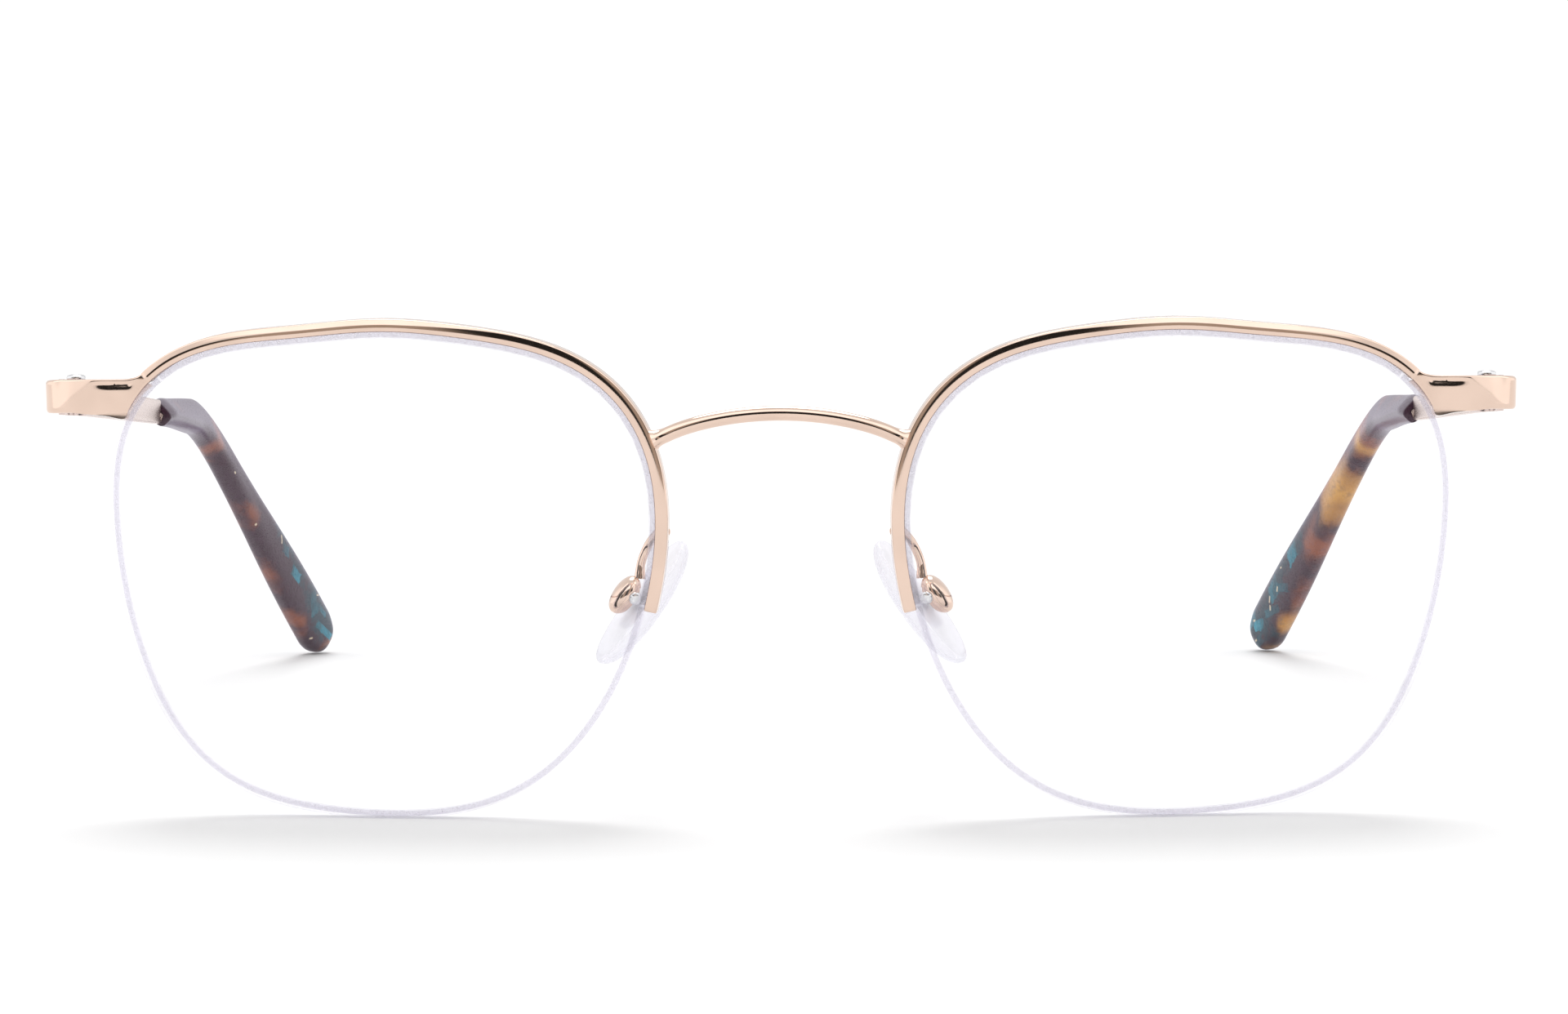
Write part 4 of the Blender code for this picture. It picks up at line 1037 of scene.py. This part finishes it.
def make_pad_box(label, side):
    """A rounded cup, fuller at the top, open towards the pad."""
    bm = bmesh.new()
    bmesh.ops.create_cube(bm, size=2.0)
    bmesh.ops.subdivide_edges(bm, edges=bm.edges[:], cuts=11, use_grid_fill=True)
    low, high = Vector((-1.72, -1.5, -2.35)), Vector((BOX_FACE, 1.5, 1.70))
    centre, half = (low + high) / 2, (high - low) / 2
    power = 2.1
    for vert in bm.verts:
        c = vert.co
        size = (abs(c.x) ** power + abs(c.y) ** power + abs(c.z) ** power) ** (1 / power)
        c = c / size
        pinch = 1 - 0.10 * ease(0.0, 1.0, -c.z)
        # The open side stays flat, the closed side is full and round.
        flat = min(1.0, (abs(c.x) * 1.25)) * math.copysign(1, c.x) if c.x > 0 else c.x
        vert.co = Vector((centre.x + half.x * flat, centre.y + half.y * c.y * pinch, centre.z + half.z * c.z))
    frame_in = pad_frame()
    made = finish_mesh(f"{label}_pad_box_visual", bm, side, None, [ROSE], None, frame_in)
    hollow = cutter(bm_box((-1.1, -0.85, -1.05), (BOX_FACE + 1.0, 0.85, 1.05)), side, frame_in)
    across = frame_in @ Matrix.Rotation(math.radians(90), 4, "X")
    hole = cutter(bm_rod((0, 0, 0), PAD_SCREW_RADIUS + 0.04, 6.0, 40), side, across)
    apply_boolean(made, hollow, "DIFFERENCE")
    apply_boolean(made, hole, "DIFFERENCE")
    bake_modifiers(made, [hollow, hole], 35.0)
    settle(made, "front", [f"{label}_pad_box"])


def make_pad_screw(label, side):
    r = PAD_SCREW_RADIUS
    profile = ((0.0, -1.5), (r - 0.08, -1.5), (r, -1.42), (r, 1.20), (0.60, 1.20), (0.62, 1.24), (0.62, 1.50), (0.59, 1.58),
               (0.52, 1.66), (0.36, 1.71), (0.0, 1.72))
    frame_in = pad_frame()
    across = frame_in @ Matrix.Rotation(math.radians(90), 4, "X")
    made = finish_mesh(f"{label}_pad_screw_visual", bm_turned(profile, 40), side, None, [STEEL], None, across)
    slot = cutter(bm_box((-1.0, -2.2, -0.09), (1.0, -1.56, 0.09)), side, frame_in)
    apply_boolean(made, slot, "DIFFERENCE")
    bake_modifiers(made, [slot], 40.0)
    settle(made, "front", [f"{label}_pad_screw"])


def make_pad(label, side):
    f, t = PAD_FACE, PAD_THICKNESS
    rings = []
    count = 96

    def outline(share, depth):
        ring = []
        for k in range(count):
            angle = 2 * math.pi * k / count
            c, s = math.cos(angle), math.sin(angle)
            # A soft teardrop: a little fuller at the bottom.
            wide = PAD_HALF_WIDTH * share * (1 - 0.05 * s)
            ring.append(Vector((depth, wide * math.copysign(abs(c) ** 0.92, c),
                                PAD_HALF_LENGTH * share * math.copysign(abs(s) ** 0.92, s))))
        return ring

    rings.append(outline(0.80, f))
    rings.append(outline(0.88, f + 0.01))
    for k in range(0, 23):
        a = math.radians(-70 + 160 * k / 22)
        if a <= 0:
            share = 0.93 + 0.07 * math.cos(a)
            depth = f + 0.42 + 0.42 * math.sin(a)
        else:
            share = 1.0 - 0.93 * (1 - math.cos(a) ** 0.85)
            depth = f + 0.42 + (t - 0.42) * math.sin(a)
        rings.append(outline(share, depth))
    bm = loft(rings)
    return finish_mesh(f"{label}_nose_pad_visual", bm, side, f"{label}_pad", [PAD], [f"{label}_nose_pad"],
                       pad_frame(), 50.0)


def dress(node, material):
    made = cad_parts[node]
    made.data.materials.clear()
    made.data.materials.append(material)


# ---------------------------------------------------------------- stage

def make_stage():
    bpy.ops.mesh.primitive_plane_add(size=16.0, location=(0, 0, 0))
    floor = bpy.context.active_object
    floor.name = "floor"
    made, n = new_material("floor")
    grain = n.noise(n.position(1.0), 3.0, 2.0)
    shader = n.add("ShaderNodeBsdfPrincipled", {"Base Color": n.mix(n.step(grain, 0.0, 1.0), rgb(0.845, 0.845, 0.845),
                                                                     rgb(0.85, 0.85, 0.85)),
                                               "Roughness": 0.9, "Specular IOR Level": 0.0})
    n.add("ShaderNodeOutputMaterial", {"Surface": shader})
    floor.data.materials.append(made)


DARK_FRONT = 0.02


def make_world():
    """A white studio whose only dark part is the gap round the camera, between the two front soft boxes."""
    world = bpy.data.worlds.new("studio")
    bpy.context.scene.world = world
    world.use_nodes = True
    n = Nodes(world.node_tree)
    ray = n.add("ShaderNodeTexCoord").outputs["Generated"]
    parts = n.add("ShaderNodeSeparateXYZ", {"Vector": ray})
    x, y, z = parts.outputs
    side = n.math("DIVIDE", n.math("ABSOLUTE", x), n.math("MAXIMUM", n.math("MULTIPLY", y, -1.0), 0.02))
    rise = n.math("DIVIDE", z, n.math("MAXIMUM", n.math("SQRT", n.math("ADD", n.math("MULTIPLY", x, x),
                                                                     n.math("MULTIPLY", y, y))), 0.02))
    front = n.step(y, 0.02, -0.02)
    # The gap narrows as it rises. It is black in its middle and a warm half tone beside that, between two low flags.
    reach = n.math("MULTIPLY_ADD", rise, -0.20, 0.74)
    gap = n.math("MULTIPLY", n.step(n.math("SUBTRACT", side, reach), 0.02, -0.02), n.step(rise, 0.64, 0.58))
    gap = n.math("MULTIPLY", gap, front)
    ceiling = n.step(z, 0.75, 1.0, 1.0, 0.92)
    side_glow = n.step(n.math("ABSOLUTE", x), 0.62, 0.90, 0.93, 1.35)
    white = n.math("MULTIPLY", ceiling, side_glow)
    # Polished faces that look up meet the bright face of the overhead box.
    box = n.math("MULTIPLY", n.math("MULTIPLY", n.step(rise, 0.62, 0.74), n.step(rise, 2.6, 1.8)), front)
    box = n.math("MULTIPLY", box, n.add("ShaderNodeLightPath").outputs["Is Glossy Ray"])
    white = n.math("MULTIPLY", white, n.math("MULTIPLY_ADD", box, 0.70, 1.0))
    bright = n.add("ShaderNodeCombineColor", {0: white, 1: white, 2: white})
    core = n.step(side, 0.26, 0.13)
    inside = n.mix(core, rgb(0.46, 0.40, 0.345), rgb(DARK_FRONT, DARK_FRONT, DARK_FRONT))
    studio = n.mix(gap, bright, inside)
    flag = n.math("MULTIPLY", n.step(side, 0.58, 0.64), n.step(side, 1.16, 1.06))
    flag = n.math("MULTIPLY", flag, n.math("MULTIPLY", n.step(rise, 0.03, 0.09), n.step(rise, 0.44, 0.36)))
    studio = n.mix(n.math("MULTIPLY", flag, front), studio, rgb(DARK_FRONT, DARK_FRONT, DARK_FRONT))
    lit = n.add("ShaderNodeBackground", {"Color": studio, "Strength": 1.03})
    plain = n.add("ShaderNodeBackground", {"Color": rgb(1, 1, 1), "Strength": 1.05})
    seen = n.add("ShaderNodeLightPath").outputs["Is Camera Ray"]
    n.add("ShaderNodeOutputWorld", {"Surface": n.add("ShaderNodeMixShader", {0: seen, 1: lit, 2: plain})})


def make_lights():
    data = bpy.data.lights.new("back_key", "SUN")
    data.energy = 1.30
    data.angle = math.radians(34.0)
    sun = bpy.data.objects.new("back_key", data)
    bpy.context.scene.collection.objects.link(sun)
    sun.rotation_euler = (Vector((0.0, -math.cos(math.radians(64)), -math.sin(math.radians(64))))).to_track_quat("-Z", "Y").to_euler()


# ---------------------------------------------------------------- assembly

make_camera()
make_stage()
make_world()
make_lights()
make_bridge()
for label, side in (("left", 1), ("right", -1)):
    make_lens(label, side)
    make_rim(label, side)
    make_cord(label, side)
    make_end_piece(label, side)
    make_hinges(label, side)
    make_arm(label, side)
    make_tip(label, side)
    make_pad_arm(label, side)
    make_pad_box(label, side)
    make_pad_screw(label, side)
    make_pad(label, side)
    dress(f"{label}_rim_liner", NYLON)
    dress(f"{label}_pad_insert", INSERT)

bpy.context.scene.view_settings.view_transform = "Standard"
bpy.context.scene.view_settings.look = "None"
bpy.context.scene.view_settings.exposure = 0.0
bpy.context.scene.view_settings.gamma = 1.0

bpy.context.view_layer.update()
